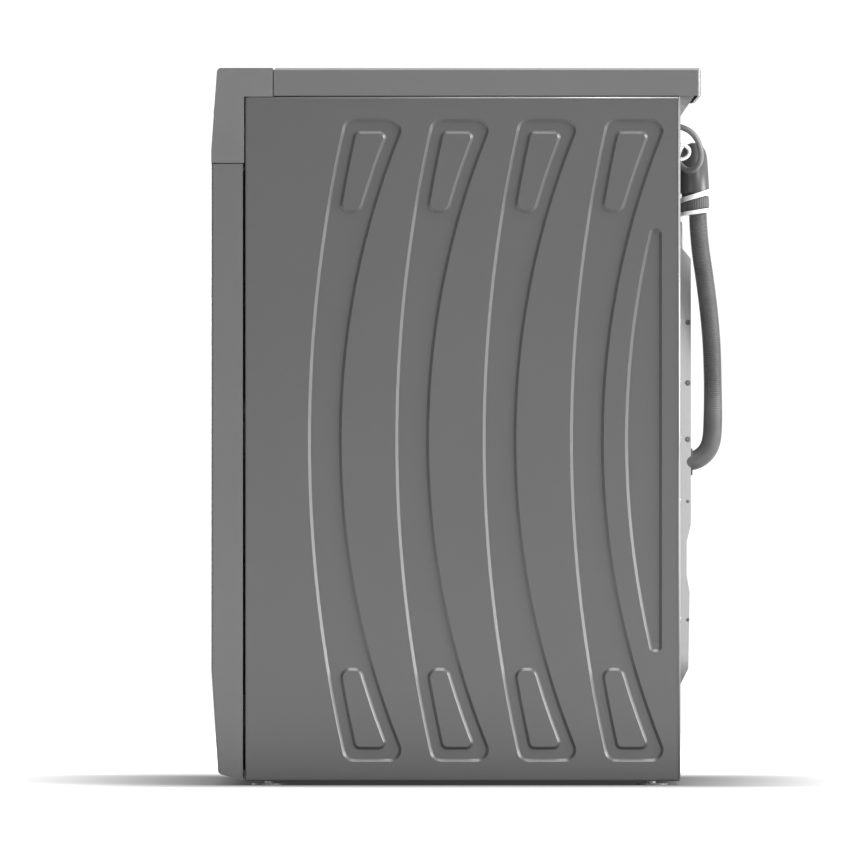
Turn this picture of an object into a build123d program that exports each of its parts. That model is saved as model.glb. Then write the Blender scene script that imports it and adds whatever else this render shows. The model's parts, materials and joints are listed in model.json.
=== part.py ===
from build123d import *
from math import atan2, cos, degrees, pi, radians, sin, sqrt, tan
import os

# A front-loading washer-dryer. +X is the machine's right, -Y its front, +Z up, Z = 0 the floor.
os.makedirs("parts", exist_ok=True)

# ---- Cabinet ----
width = 600
height = 850
front_y = -290
rear_y = 290
half_width = width / 2
sheet = 1.2
plastic = 2.5
seam = 1.0
touch = 0.1
side_inset = 1.5
side_front_y = -250
side_rear_y = 265.5
skirt_z = 5
top_thickness = 33
flange = 18
fold_radius = 2.0

side_x = half_width - side_inset
worktop_z = height - top_thickness
side_top_z = worktop_z - seam
panel_rear_y = side_front_y - 2.5
inner_x = side_x - sheet - touch

# ---- Pressed pattern of the side panels ----
band_pitch = 103.5
band_count = 4
first_band_y = -175.4
band_mid_width = 40
band_half_height = 381
band_front_radius = 1695
band_rear_radius = 972
band_corner_radius = 14
band_mid_z = 409
press_depth = 3.5
pad_inset = 17.8
pad_height = 90
pad_corner_radius = 5
pad_nose_radius = 8
crescent_front_y = 200.3
crescent_rear_y = 244.1
crescent_radius = 1066
crescent_half_height = 251
crescent_corner_radius = 6

# ---- Fascia and its controls ----
fascia_z = 737.5
fascia_seam_y = -217
fascia_top_setback = 7
fascia_upright_z = 753
control_z = 798
panel_top_z = fascia_z - seam
dial_x = 0
dial_radius = 27
dial_proud = 3
dial_well = 12
display_x = 150
display_width = 140
display_height = 34
button_radius = 7
button_travel = 2
button_gap = 0.5
button_pitch = 40
button_drop = 34
drawer_x = -202
drawer_width = 160
drawer_height = 74
drawer_gap = 1.2
tray_width = 148
tray_depth = 196
tray_height = 44
tray_floor_z = 761.5
wall = 2.0

# ---- Front panel, door and filter hatch ----
drum_z = 425
taper_z = 136
taper_setback = 8
panel_foot_z = 16
door_radius = 215
door_gap = 3
door_depth = 27
seat_depth = 32
seat_bore_radius = 168
window_radius = 152
bowl_radius = 138
bowl_end_radius = 112
bowl_depth = 92
glass = 4
hinge_x = -232
hinge_setback = 9
hinge_pin_radius = 3
hinge_knuckle_radius = 7
hinge_half_height = 22
pin_clearance = 0.05
hatch_x = 205
hatch_width = 110
hatch_low_z = 32
hatch_height = 92
hatch_gap = 0.9

# ---- Tub, drum and drive ----
tub_radius = 262
tub_wall = 4
tub_front_y = -205
tub_joint_y = -20
tub_rear_y = 178
tub_mouth_radius = 158
drum_radius = 238
drum_front_y = -190
drum_rear_y = 150
drum_mouth_radius = 143
drum_hole_radius = 2.5
paddle_height = 48
shaft_radius = 15
shaft_rear_y = 238
bearing_radius = 31
bearing_width = 16
stator_radius = 104
magnet_depth = 4
air_gap = 1.5
pole_count = 24

# ---- Rear ----
rear_plane_y = side_rear_y - sheet - touch
recess_depth = 24
recess_half_width = 270
recess_low_z = 684
recess_top_z = 811
cover_half_width = 190
cover_low_z = 48
cover_top_z = 677
bulge_half_width = 170
bulge_y = 280
bulge_low_z = 113
bulge_top_z = 672
screw_radius = 2
screw_head_radius = 4
screw_clearance = 0.2

# ---- Feet, suspension and pump ----
foot_x = 262
foot_front_y = -222
foot_rear_y = 232
foot_radius = 20
stem_radius = 5
base_z = 8
base_wall = 18
damper_x = 150
damper_y = 50
damper_bore = 9
damper_rod = 8.95
spring_x = 226
spring_y = -30
spring_low_z = 636
spring_radius = 12
spring_wire = 1.8
rail_z = 792
pump_z = 78
pump_radius = 31
filter_radius = 27

# ---- Hose and cord ----
hose_radius = 11.25
outlet_hose_radius = 10
cord_radius = 3.5
coil_radius = 49
coil_depth = 17

drum_axis = Axis((0, 0, drum_z), (0, 1, 0))


def across(y, x=0, z=drum_z):
    """The plane across the drum's axis at y, seen from the front: local x is +X and local y is +Z."""
    return Plane(origin=(x, y, z), x_dir=(1, 0, 0), z_dir=(0, -1, 0))


def level(z):
    """The level plane at height z."""
    return Plane.XY.offset(z)


# The fascia leans back above its upright foot, and every control is set out on its face.
fascia_slope = atan2(fascia_top_setback, height - fascia_upright_z)
control_y = front_y + (control_z - fascia_upright_z) * tan(fascia_slope)
control_plane = Plane(
    origin=(0, control_y, control_z),
    x_dir=(1, 0, 0),
    z_dir=(0, -cos(fascia_slope), sin(fascia_slope)),
)


def control_face(inwards=0):
    """The fascia's face, or a plane parallel to it further in."""
    return control_plane.offset(-inwards)


# ======== Side panels ========
# The bands are pressed inwards. Their pads stand back at the panel's own level.
panel_side = Plane(origin=(side_x, 0, band_mid_z), x_dir=(0, 1, 0), z_dir=(-1, 0, 0))


def band_outline(front, inset, half_low, half_high):
    """The outline between a band's two arcs, inset from them, from half_low to half_high off its middle."""
    r_front = band_front_radius - inset
    r_rear = band_rear_radius + inset
    front_at = [front + band_front_radius - sqrt(r_front**2 - h**2) for h in (half_low, half_high)]
    rear = front + band_mid_width
    rear_at = [rear + band_rear_radius - sqrt(r_rear**2 - h**2) for h in (half_low, half_high)]
    middle = (half_low + half_high) / 2
    front_mid = front + band_front_radius - sqrt(r_front**2 - middle**2)
    rear_mid = rear + band_rear_radius - sqrt(r_rear**2 - middle**2)
    with BuildLine() as outline:
        ThreePointArc((front_at[0], half_low), (front_mid, middle), (front_at[1], half_high))
        Line((front_at[1], half_high), (rear_at[1], half_high))
        ThreePointArc((rear_at[1], half_high), (rear_mid, middle), (rear_at[0], half_low))
        Line((rear_at[0], half_low), (front_at[0], half_low))
    make_face(outline.edges())


band_fronts = [first_band_y + i * band_pitch for i in range(band_count)]

with BuildPart() as pressing:
    for band_front in band_fronts:
        with BuildSketch(panel_side) as band:
            band_outline(band_front, 0, -band_half_height, band_half_height)
            fillet(band.vertices(), band_corner_radius)
        extrude(amount=press_depth, taper=45)
    crescent_sagitta = crescent_radius - sqrt(crescent_radius**2 - crescent_half_height**2)
    with BuildSketch(panel_side) as crescent:
        with BuildLine():
            tip_y = crescent_front_y + crescent_sagitta
            ThreePointArc(
                (tip_y, -crescent_half_height), (crescent_front_y, 0), (tip_y, crescent_half_height)
            )
            Line((tip_y, crescent_half_height), (crescent_rear_y, crescent_half_height))
            Line((crescent_rear_y, crescent_half_height), (crescent_rear_y, -crescent_half_height))
            Line((crescent_rear_y, -crescent_half_height), (tip_y, -crescent_half_height))
        make_face()
        fillet(crescent.vertices(), crescent_corner_radius)
    extrude(amount=press_depth, taper=45)
    # Pads: cut away from the pressing, growing inwards, so that they rise out of it.
    pad_outer = band_half_height - pad_inset
    for band_front in band_fronts:
        for end in (-1, 1):
            low, high = sorted((end * pad_outer, end * (pad_outer - pad_height)))
            with BuildSketch(panel_side) as pad:
                band_outline(band_front, pad_inset, low, high)
                wide = pad.vertices().filter_by_position(Axis.Y, end * pad_outer - 1, end * pad_outer + 1)
                fillet(wide, pad_corner_radius)
                nose_at = end * (pad_outer - pad_height)
                nose = pad.vertices().filter_by_position(Axis.Y, nose_at - 1, nose_at + 1)
                fillet(nose, pad_nose_radius)
            extrude(amount=press_depth, taper=-45, mode=Mode.SUBTRACT)

panel_depth = side_rear_y - side_front_y
panel_height = side_top_z - skirt_z
panel_middle = ((side_front_y + side_rear_y) / 2, (skirt_z + side_top_z) / 2)

with BuildPart() as right_side_panel:
    with Locations((side_x - flange / 2, *panel_middle)):
        Box(flange, panel_depth, panel_height)
    fillet(right_side_panel.faces().sort_by(Axis.X)[-1].edges(), fold_radius)
    with Locations((side_x - sheet - flange / 2, *panel_middle)):
        Box(flange, panel_depth - 2 * sheet, panel_height - 2 * sheet, mode=Mode.SUBTRACT)
    add(pressing.part.moved(Location((-sheet, 0, 0))))
    add(pressing.part, mode=Mode.SUBTRACT)
right_side_panel.part.label = "right_side_panel"
export_step(right_side_panel.part, "parts/right_side_panel.step")

with BuildPart() as left_side_panel:
    mirror(right_side_panel.part, about=Plane.YZ)
left_side_panel.part.label = "left_side_panel"
export_step(left_side_panel.part, "parts/left_side_panel.step")

# ======== Base pan, rails and brace ========
foot_spots = [(x, y) for x in (-foot_x, foot_x) for y in (foot_front_y, foot_rear_y)]
base_front_y = side_front_y + sheet + touch
base_rear_y = rear_plane_y - sheet - touch
base_low_z = base_z
base_middle_y = (base_front_y + base_rear_y) / 2

with BuildPart() as base_pan:
    with Locations((0, base_middle_y, base_low_z)):
        Box(
            2 * inner_x,
            base_rear_y - base_front_y,
            base_wall,
            align=(Align.CENTER, Align.CENTER, Align.MIN),
        )
    with Locations((0, base_middle_y, base_low_z + sheet)):
        Box(
            2 * (inner_x - sheet),
            base_rear_y - base_front_y - 2 * sheet,
            base_wall,
            align=(Align.CENTER, Align.CENTER, Align.MIN),
            mode=Mode.SUBTRACT,
        )
    with Locations(*[(x, y, base_low_z) for x, y in foot_spots]):
        Cylinder(stem_radius + 0.2, 3 * base_wall, mode=Mode.SUBTRACT)
base_pan.part.label = "base_pan"
export_step(base_pan.part, "parts/base_pan.step")

nut_height = 6
with BuildPart() as levelling_feet:
    with BuildSketch(level(0)):
        with Locations(*foot_spots):
            Circle(foot_radius)
    extrude(amount=base_low_z - nut_height - touch)
    with BuildSketch(level(0)):
        with Locations(*foot_spots):
            Circle(stem_radius)
    extrude(amount=base_low_z + sheet + base_wall)
    with BuildSketch(level(base_low_z + sheet)):
        with Locations(*foot_spots):
            RegularPolygon(9, 6)
    extrude(amount=nut_height)
levelling_feet.part.label = "levelling_feet"
export_step(levelling_feet.part, "parts/levelling_feet.step")

rail_height = 20
rail_width = 66
rail_front_y = -50
rail_rear_y = rear_plane_y - recess_depth - sheet - 2 * touch
rail_middle_y = (rail_front_y + rail_rear_y) / 2
rail_middle_z = rail_z + rail_height / 2
bracket_reach = 17
bracket_drop = 25
brace_depth = 28
brace_height = 10
brace_z = fascia_z + 1
with BuildPart() as cabinet_braces:
    for side in (-1, 1):
        with Locations((side * (inner_x - flange - rail_width / 2 - touch), rail_middle_y, rail_middle_z)):
            Box(rail_width, rail_rear_y - rail_front_y, rail_height)
            Box(
                rail_width - 2 * sheet,
                rail_rear_y - rail_front_y + 2,
                rail_height - 2 * sheet,
                mode=Mode.SUBTRACT,
            )
    with Locations((0, base_front_y + brace_depth / 2, brace_z + brace_height / 2)):
        Box(2 * (inner_x - flange), brace_depth, brace_height)
    with Locations((0, base_front_y + brace_depth / 2, brace_z + brace_height / 2 - sheet)):
        Box(2 * inner_x, brace_depth - 2 * sheet, brace_height, mode=Mode.SUBTRACT)
    for side in (-1, 1):
        with BuildSketch(Plane.YZ.offset(side * (side_x - 10))):
            Polygon(
                (side_rear_y, worktop_z),
                (side_rear_y + bracket_reach, worktop_z),
                (side_rear_y, worktop_z - bracket_drop),
                align=None,
            )
        extrude(amount=8, both=True)
cabinet_braces.part.label = "cabinet_braces"
export_step(cabinet_braces.part, "parts/cabinet_braces.step")

# ======== Worktop ========
top_skin = 3
top_length = rear_y - fascia_seam_y - seam
top_middle_y = (rear_y + fascia_seam_y + seam) / 2
with BuildPart() as worktop:
    with Locations((0, top_middle_y, worktop_z)):
        Box(width, top_length, top_thickness, align=(Align.CENTER, Align.CENTER, Align.MIN))
    chamfer(worktop.faces().sort_by(Axis.Z)[-1].edges(), 2.5)
    fillet(worktop.edges().filter_by(Axis.Z).group_by(Axis.Y)[-1], 4)
    with Locations((0, top_middle_y, worktop_z - top_skin)):
        Box(
            width - 2 * top_skin,
            top_length - 2 * top_skin,
            top_thickness,
            align=(Align.CENTER, Align.CENTER, Align.MIN),
            mode=Mode.SUBTRACT,
        )
worktop.part.label = "worktop"
export_step(worktop.part, "parts/worktop.step")

# ======== Rear panel and service cover ========
recess_y = rear_plane_y - recess_depth
recess_middle_z = (recess_low_z + recess_top_z) / 2
recess_height = recess_top_z - recess_low_z
service_radius = 150
gland_x = 254
gland_z = 783
gland_radius = 8
valve_spots = [(-215, 765), (-165, 765)]
valve_radius = 13
hose_exit_x = 150
hose_exit_z = 383
grommet_radius = 16
transit_spots = [(x, z) for x in (-230, 230) for z in (628, 120)]
transit_radius = 9
cover_screw_z = (195, 336, 410, 477, 550, 640)
cover_screws = [(side * (cover_half_width - 8), z) for side in (-1, 1) for z in cover_screw_z]

with BuildPart() as rear_panel:
    panel_low_z = base_low_z - 1
    panel_high_z = side_top_z - sheet - touch
    with Locations((0, rear_plane_y - sheet / 2, (panel_low_z + panel_high_z) / 2)):
        Box(2 * inner_x, sheet, panel_high_z - panel_low_z)
    with Locations((0, rear_plane_y - (recess_depth + sheet) / 2, recess_middle_z)):
        Box(2 * (recess_half_width + sheet), recess_depth + sheet, recess_height + 2 * sheet)
    with Locations((0, rear_plane_y - recess_depth / 2, recess_middle_z)):
        Box(2 * recess_half_width, recess_depth, recess_height, mode=Mode.SUBTRACT)
    with BuildSketch(across(rear_plane_y + 5, z=0)):
        with Locations((0, drum_z)):
            Circle(service_radius)
        with Locations((gland_x, gland_z)):
            Circle(gland_radius + screw_clearance)
        with Locations(*valve_spots):
            Circle(valve_radius + screw_clearance)
        with Locations((hose_exit_x, hose_exit_z)):
            Circle(grommet_radius + screw_clearance)
        with Locations(*cover_screws):
            Circle(screw_radius + screw_clearance)
        with Locations(*transit_spots):
            Circle(transit_radius)
    extrude(amount=2 * recess_depth, mode=Mode.SUBTRACT)
rear_panel.part.label = "rear_panel"
export_step(rear_panel.part, "parts/rear_panel.step")

cover_face_y = rear_plane_y + sheet
dip_low_z = 234
dip_top_z = 302
dip_depth = 5


def cover_side(inset):
    """The bulge from the side: a low step on top, a shallow dip below the middle, a slope at the foot."""
    back = bulge_y - inset
    step = 270 - inset
    Polygon(
        (rear_plane_y - 1, bulge_low_z + inset),
        (cover_face_y, bulge_low_z + inset),
        (back - 3, bulge_low_z + 24 + inset),
        (back - 1.5, dip_low_z - 6),
        (back - dip_depth, dip_low_z + 14),
        (back - dip_depth, dip_top_z - 14),
        (back, dip_top_z + 6),
        (back, bulge_top_z - 47 - inset),
        (step, bulge_top_z - 35 - inset),
        (step, bulge_top_z - 4 - inset),
        (step - 4, bulge_top_z - inset),
        (rear_plane_y - 1, bulge_top_z - inset),
        align=None,
    )


bulge_middle_z = (bulge_low_z + bulge_top_z) / 2


def cover_bulge(inset):
    """The solid inside the bulge's skin, inset from it."""
    with BuildPart() as whole:
        with BuildSketch(Plane.YZ):
            cover_side(inset)
        extrude(amount=bulge_half_width, both=True)
        with BuildSketch(across(rear_plane_y - 1, z=bulge_middle_z)):
            RectangleRounded(
                2 * (bulge_half_width - inset), bulge_top_z - bulge_low_z - 2 * inset, 40 - inset
            )
        extrude(amount=-24, taper=18, mode=Mode.INTERSECT)
    return whole.part


outer_bulge = cover_bulge(0)
inner_bulge = cover_bulge(sheet)

with BuildPart() as rear_cover:
    with Locations((0, rear_plane_y + sheet / 2, (cover_low_z + cover_top_z) / 2)):
        Box(2 * cover_half_width, sheet, cover_top_z - cover_low_z)
    fillet(rear_cover.edges().filter_by(Axis.Y), 12)
    add(outer_bulge)
    add(inner_bulge, mode=Mode.SUBTRACT)
    with Locations((0, rear_plane_y - 1, drum_z)):
        Box(
            4 * cover_half_width,
            2,
            2 * height,
            mode=Mode.SUBTRACT,
        )
    with BuildSketch(across(rear_y, z=0)):
        with Locations((hose_exit_x, hose_exit_z)):
            Circle(grommet_radius + screw_clearance)
        with Locations(*cover_screws):
            Circle(screw_radius + screw_clearance)
    extrude(amount=2 * recess_depth, mode=Mode.SUBTRACT)
rear_cover.part.label = "rear_cover"
export_step(rear_cover.part, "parts/rear_cover.step")

with BuildPart() as rear_cover_screws:
    with BuildSketch(across(cover_face_y, z=0)):
        with Locations(*cover_screws):
            Circle(screw_head_radius)
    extrude(amount=-2.6)
    with BuildSketch(across(cover_face_y, z=0)):
        with Locations(*cover_screws):
            Circle(screw_radius)
    extrude(amount=8)
rear_cover_screws.part.label = "rear_cover_screws"
export_step(rear_cover_screws.part, "parts/rear_cover_screws.step")

# ======== Front panel and filter hatch ========
panel_half = half_width - 1


def front_profile(inset, back_y):
    """The front panel from the side: upright, then set back towards its foot."""
    Polygon(
        (back_y, panel_top_z - inset),
        (front_y + inset, panel_top_z - inset),
        (front_y + inset, taper_z),
        (front_y + taper_setback + inset, panel_foot_z + inset),
        (front_y + taper_setback + 3 + inset, panel_foot_z - 3 + inset),
        (back_y, skirt_z + 1 + inset),
        align=None,
    )


seat_radius = door_radius + door_gap
seat_y = front_y + seat_depth
hook_x = 196
hook_slot = (14, 30)
hinge_y = front_y + hinge_setback
notch_left_x = hinge_x - 16
notch_right_x = -seat_radius + 8
hatch_middle_z = hatch_low_z + hatch_height / 2

with BuildPart() as front_panel:
    with BuildSketch(Plane.YZ):
        front_profile(0, panel_rear_y)
    extrude(amount=panel_half, both=True)
    fillet(front_panel.edges().filter_by(Axis.Z).group_by(Axis.Y)[0], 3)
    with BuildSketch(Plane.YZ):
        front_profile(sheet, panel_rear_y + 5)
    extrude(amount=panel_half - sheet, both=True, mode=Mode.SUBTRACT)
    with BuildSketch(across(front_y + 1)):
        Circle(seat_radius + sheet)
    extrude(amount=-(seat_depth + sheet - 1))
    with BuildSketch(across(front_y - 1)):
        Circle(seat_radius)
    extrude(amount=-(seat_depth + 1), mode=Mode.SUBTRACT)
    with BuildSketch(across(front_y)):
        Circle(seat_bore_radius)
        with Locations((hook_x, 0)):
            Rectangle(*hook_slot)
    extrude(amount=-seat_depth - 5, mode=Mode.SUBTRACT)
    with BuildSketch(across(front_y - 1)):
        with Locations(((notch_left_x + notch_right_x) / 2, 0)):
            Rectangle(notch_right_x - notch_left_x, 2 * hinge_half_height + 20)
    extrude(amount=-24, mode=Mode.SUBTRACT)
    with BuildSketch(across(front_y - 1, z=0)):
        with Locations((hatch_x, hatch_middle_z)):
            Rectangle(hatch_width + 2 * hatch_gap, hatch_height + 2 * hatch_gap)
    extrude(amount=-20, mode=Mode.SUBTRACT)
front_panel.part.label = "front_panel"
export_step(front_panel.part, "parts/front_panel.step")

with BuildPart() as filter_hatch:
    with BuildSketch(Plane.YZ.offset(hatch_x)):
        front_profile(0, panel_rear_y)
    extrude(amount=hatch_width / 2, both=True)
    with BuildSketch(Plane.YZ.offset(hatch_x)):
        front_profile(2 * sheet, panel_rear_y + 5)
    extrude(amount=hatch_width, both=True, mode=Mode.SUBTRACT)
    with Locations((hatch_x, front_y, hatch_middle_z)):
        Box(hatch_width, 40, hatch_height, mode=Mode.INTERSECT)
    with BuildSketch(across(front_y - 1, z=0)):
        with Locations((hatch_x, hatch_low_z + hatch_height)):
            SlotOverall(34, 12)
    extrude(amount=-20, mode=Mode.SUBTRACT)
filter_hatch.part.label = "filter_hatch"
export_step(filter_hatch.part, "parts/filter_hatch.step")

# ======== Control fascia ========
with BuildPart() as control_fascia:
    with BuildSketch(Plane.YZ):
        Polygon(
            (fascia_seam_y, height),
            (front_y + fascia_top_setback, height),
            (front_y, fascia_upright_z),
            (front_y, fascia_z),
            (side_front_y - seam, fascia_z),
            (side_front_y - seam, worktop_z - seam),
            (fascia_seam_y, worktop_z - seam),
            align=None,
        )
    extrude(amount=half_width, both=True)
    front_top = control_fascia.edges().filter_by(Axis.X).group_by(Axis.Z)[-1].sort_by(Axis.Y)[0]
    fillet(front_top, 5)
    with BuildSketch(Plane.YZ):
        Polygon(
            (fascia_seam_y + 1, height - plastic),
            (front_y + fascia_top_setback + plastic, height - plastic),
            (front_y + plastic, fascia_upright_z),
            (front_y + plastic, fascia_z - 1),
            (side_front_y, fascia_z - 1),
            (fascia_seam_y + 1, fascia_z - 1),
            align=None,
        )
    extrude(amount=half_width - plastic, both=True, mode=Mode.SUBTRACT)
    with BuildSketch(control_face()):
        with Locations((dial_x, 0)):
            Circle(dial_radius + 3 + wall)
    extrude(amount=-dial_well - wall)
    with BuildSketch(control_face(-5)):
        with Locations((drawer_x, 0)):
            RectangleRounded(drawer_width + 2 * drawer_gap, drawer_height + 2 * drawer_gap, 5 + drawer_gap)
        with Locations((display_x, 0)):
            Rectangle(display_width, display_height)
    extrude(amount=-25, mode=Mode.SUBTRACT)
    with BuildSketch(control_face(-5)):
        with Locations((dial_x, 0)):
            Circle(dial_radius + 3)
    extrude(amount=-dial_well - 5, mode=Mode.SUBTRACT)
    with BuildSketch(control_face(-5)):
        with Locations((dial_x, 0)):
            Circle(5)
        with Locations((display_x, -button_drop)):
            with GridLocations(button_pitch, 0, 3, 1):
                Circle(button_radius + button_gap)
        with Locations((display_x + display_width / 2 + 30, 0)):
            Circle(button_radius + button_gap)
    extrude(amount=-30, mode=Mode.SUBTRACT)
control_fascia.part.label = "control_fascia"
export_step(control_fascia.part, "parts/control_fascia.step")

with BuildPart() as display_window:
    with BuildSketch(control_face(0.4)):
        with Locations((display_x, 0)):
            Rectangle(display_width - 0.4, display_height - 0.4)
    extrude(amount=-2)
display_window.part.label = "display_window"
export_step(display_window.part, "parts/display_window.step")

board_setback = 16
with BuildPart() as control_electronics:
    with BuildSketch(control_face(board_setback)):
        with Locations((display_x + 15, -8)):
            Rectangle(display_width + 50, 74)
    extrude(amount=-1.6)
    with BuildSketch(control_face(board_setback)):
        with Locations((display_x, 0)):
            Rectangle(display_width - 10, display_height - 4)
    extrude(amount=6)
    with BuildSketch(control_face(dial_well + wall + touch)):
        with Locations((dial_x, 0)):
            Rectangle(26, 26)
            Circle(4.55, mode=Mode.SUBTRACT)
    extrude(amount=-9)
    with Locations((236, 155, base_low_z + sheet)):
        Box(80, 90, 150, align=(Align.CENTER, Align.CENTER, Align.MIN))
control_electronics.part.label = "control_electronics"
export_step(control_electronics.part, "parts/control_electronics.step")

with BuildPart() as program_dial:
    with BuildSketch(control_face(-dial_proud)):
        with Locations((dial_x, 0)):
            Circle(dial_radius)
    extrude(amount=-dial_proud - dial_well + 3)
    fillet(program_dial.faces().sort_by(Axis.Y)[0].edges(), 2)
    with BuildSketch(control_face()):
        with Locations((dial_x, 0)):
            Circle(4.5)
    extrude(amount=-dial_well - 7)
    with BuildSketch(control_face(-dial_proud - 1)):
        with Locations((dial_x, dial_radius - 9)):
            Rectangle(2, 10)
    extrude(amount=-1.8, mode=Mode.SUBTRACT)
program_dial.part.label = "program_dial"
export_step(program_dial.part, "parts/program_dial.step")

button_spots = {
    "temperature_button": (display_x - button_pitch, -button_drop),
    "drying_button": (display_x, -button_drop),
    "start_button": (display_x + button_pitch, -button_drop),
    "power_button": (display_x + display_width / 2 + 30, 0),
}
button_stem = board_setback - button_travel - 1
for button_name, spot in button_spots.items():
    with BuildPart() as button:
        with BuildSketch(control_face(-0.8)):
            with Locations(spot):
                Circle(button_radius)
        extrude(amount=-6)
        chamfer(button.faces().sort_by(Axis.Y)[0].edges(), 0.6)
        with BuildSketch(control_face(4)):
            with Locations(spot):
                Circle(3)
        extrude(amount=4 - button_stem)
    button.part.label = button_name
    export_step(button.part, f"parts/{button_name}.step")

# ======== Detergent drawer ========
drawer_thickness = 18
with BuildPart() as drawer_front:
    with BuildSketch(control_face()):
        with Locations((drawer_x, 0)):
            RectangleRounded(drawer_width, drawer_height, 5)
    extrude(amount=-drawer_thickness)
    with BuildSketch(control_face()):
        with Locations((drawer_x, -drawer_height / 2 + 12)):
            RectangleRounded(90, 20, 6)
    extrude(amount=-drawer_thickness + 4, mode=Mode.SUBTRACT)
drawer_front.part.label = "drawer_front"
export_step(drawer_front.part, "parts/drawer_front.step")

tray_front_y = control_y + drawer_thickness + 6
tray_wall_x = (-tray_width / 6, tray_width / 6)
with BuildPart() as drawer_tray:
    with Locations((drawer_x, tray_front_y, tray_floor_z)):
        Box(tray_width, tray_depth, tray_height, align=(Align.CENTER, Align.MIN, Align.MIN))
    with Locations((drawer_x, tray_front_y + wall, tray_floor_z + wall)):
        Box(
            tray_width - 2 * wall,
            tray_depth - 2 * wall,
            tray_height,
            align=(Align.CENTER, Align.MIN, Align.MIN),
            mode=Mode.SUBTRACT,
        )
    for x in tray_wall_x:
        with Locations((drawer_x + x, tray_front_y, tray_floor_z)):
            Box(wall, tray_depth, tray_height - 8, align=(Align.CENTER, Align.MIN, Align.MIN))
    with Locations((drawer_x, tray_front_y + wall, tray_floor_z + 10)):
        Box(100, 14, 24, align=(Align.CENTER, Align.MAX, Align.MIN))
    with BuildSketch(control_face(drawer_thickness)):
        with Locations((drawer_x, 0)):
            Rectangle(width, width)
    extrude(amount=60, mode=Mode.SUBTRACT)
    with Locations((drawer_x, tray_front_y + tray_depth - 40, tray_floor_z)):
        Cylinder(9, 34, align=(Align.CENTER, Align.CENTER, Align.MIN))
drawer_tray.part.label = "drawer_tray"
export_step(drawer_tray.part, "parts/drawer_tray.step")

housing_gap = 3
housing_low_z = tray_floor_z - housing_gap - wall
housing_top_z = rail_z + rail_height
with BuildPart() as dispenser_housing:
    housing_front_y = side_front_y + 3
    housing_depth = tray_front_y + tray_depth + 12 - housing_front_y
    housing_width = tray_width + 2 * (housing_gap + wall)
    with Locations((drawer_x + 8, housing_front_y, housing_low_z)):
        Box(
            housing_width - 16,
            housing_depth,
            housing_top_z - housing_low_z,
            align=(Align.CENTER, Align.MIN, Align.MIN),
        )
    with Locations((drawer_x, housing_front_y, housing_low_z)):
        Box(
            housing_width,
            housing_depth,
            rail_z - housing_low_z - 1,
            align=(Align.CENTER, Align.MIN, Align.MIN),
        )
    with Locations((drawer_x, housing_front_y - 1, housing_low_z + wall)):
        Box(
            housing_width - 2 * wall,
            housing_depth - wall + 1,
            tray_height + 2 * housing_gap,
            align=(Align.CENTER, Align.MIN, Align.MIN),
            mode=Mode.SUBTRACT,
        )
dispenser_housing.part.label = "dispenser_housing"
export_step(dispenser_housing.part, "parts/dispenser_housing.step")

# ======== Door ========
door_front_y = front_y
ring_inner = window_radius + 1
with BuildPart() as ring_blank:
    with BuildSketch(across(door_front_y)):
        Circle(door_radius)
        Circle(ring_inner, mode=Mode.SUBTRACT)
    extrude(amount=-door_depth + 5)
    fillet(ring_blank.faces().sort_by(Axis.Y)[0].edges(), 4)
    with BuildSketch(across(door_front_y - 1)):
        with Locations((door_radius - 8, 0)):
            RectangleRounded(34, 110, 14)
    extrude(amount=-16, mode=Mode.SUBTRACT)

with BuildPart() as door_window:
    with BuildSketch(across(door_front_y + 1.5)):
        Circle(window_radius)
    extrude(amount=-glass)
    chamfer(door_window.faces().sort_by(Axis.Y)[0].edges(), 1)
door_window.part.label = "door_window"
export_step(door_window.part, "parts/door_window.step")

frame_y = door_front_y + door_depth - 5
frame_back_y = frame_y + 5
with BuildPart() as door_inner_frame:
    with BuildSketch(across(frame_y)):
        Circle(door_radius - 2)
        Circle(bowl_radius + 1, mode=Mode.SUBTRACT)
    extrude(amount=-5)
    with Locations((hook_x, frame_back_y, drum_z)):
        Box(8, 24, 16, align=(Align.CENTER, Align.MIN, Align.CENTER))
    with Locations((hook_x - 3, frame_back_y + 18, drum_z)):
        Box(6, 6, 10, align=(Align.CENTER, Align.MIN, Align.CENTER), mode=Mode.SUBTRACT)
door_inner_frame.part.label = "door_inner_frame"
export_step(door_inner_frame.part, "parts/door_inner_frame.step")

bowl_y = frame_y - glass - touch
with BuildPart() as door_glass:
    with BuildSketch(Plane.YZ) as bowl_section:
        Polygon(
            (bowl_y, drum_z),
            (bowl_y, drum_z + bowl_radius + 11),
            (bowl_y + glass, drum_z + bowl_radius + 11),
            (bowl_y + glass, drum_z + bowl_radius),
            (bowl_y + bowl_depth, drum_z + bowl_end_radius),
            (bowl_y + bowl_depth, drum_z),
            align=None,
        )
        rim_corner = bowl_section.vertices().group_by(Axis.X)[-1].sort_by(Axis.Y)[-1]
        fillet(rim_corner, 22)
    revolve(axis=drum_axis)
    with BuildSketch(Plane.YZ) as hollow_section:
        Polygon(
            (bowl_y - 1, drum_z),
            (bowl_y - 1, drum_z + bowl_radius - glass),
            (bowl_y + glass, drum_z + bowl_radius - glass),
            (bowl_y + bowl_depth - glass, drum_z + bowl_end_radius - glass),
            (bowl_y + bowl_depth - glass, drum_z),
            align=None,
        )
        rim_corner = hollow_section.vertices().group_by(Axis.X)[-1].sort_by(Axis.Y)[-1]
        fillet(rim_corner, 18)
    revolve(axis=drum_axis, mode=Mode.SUBTRACT)
door_glass.part.label = "door_glass"
export_step(door_glass.part, "parts/door_glass.step")

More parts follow.
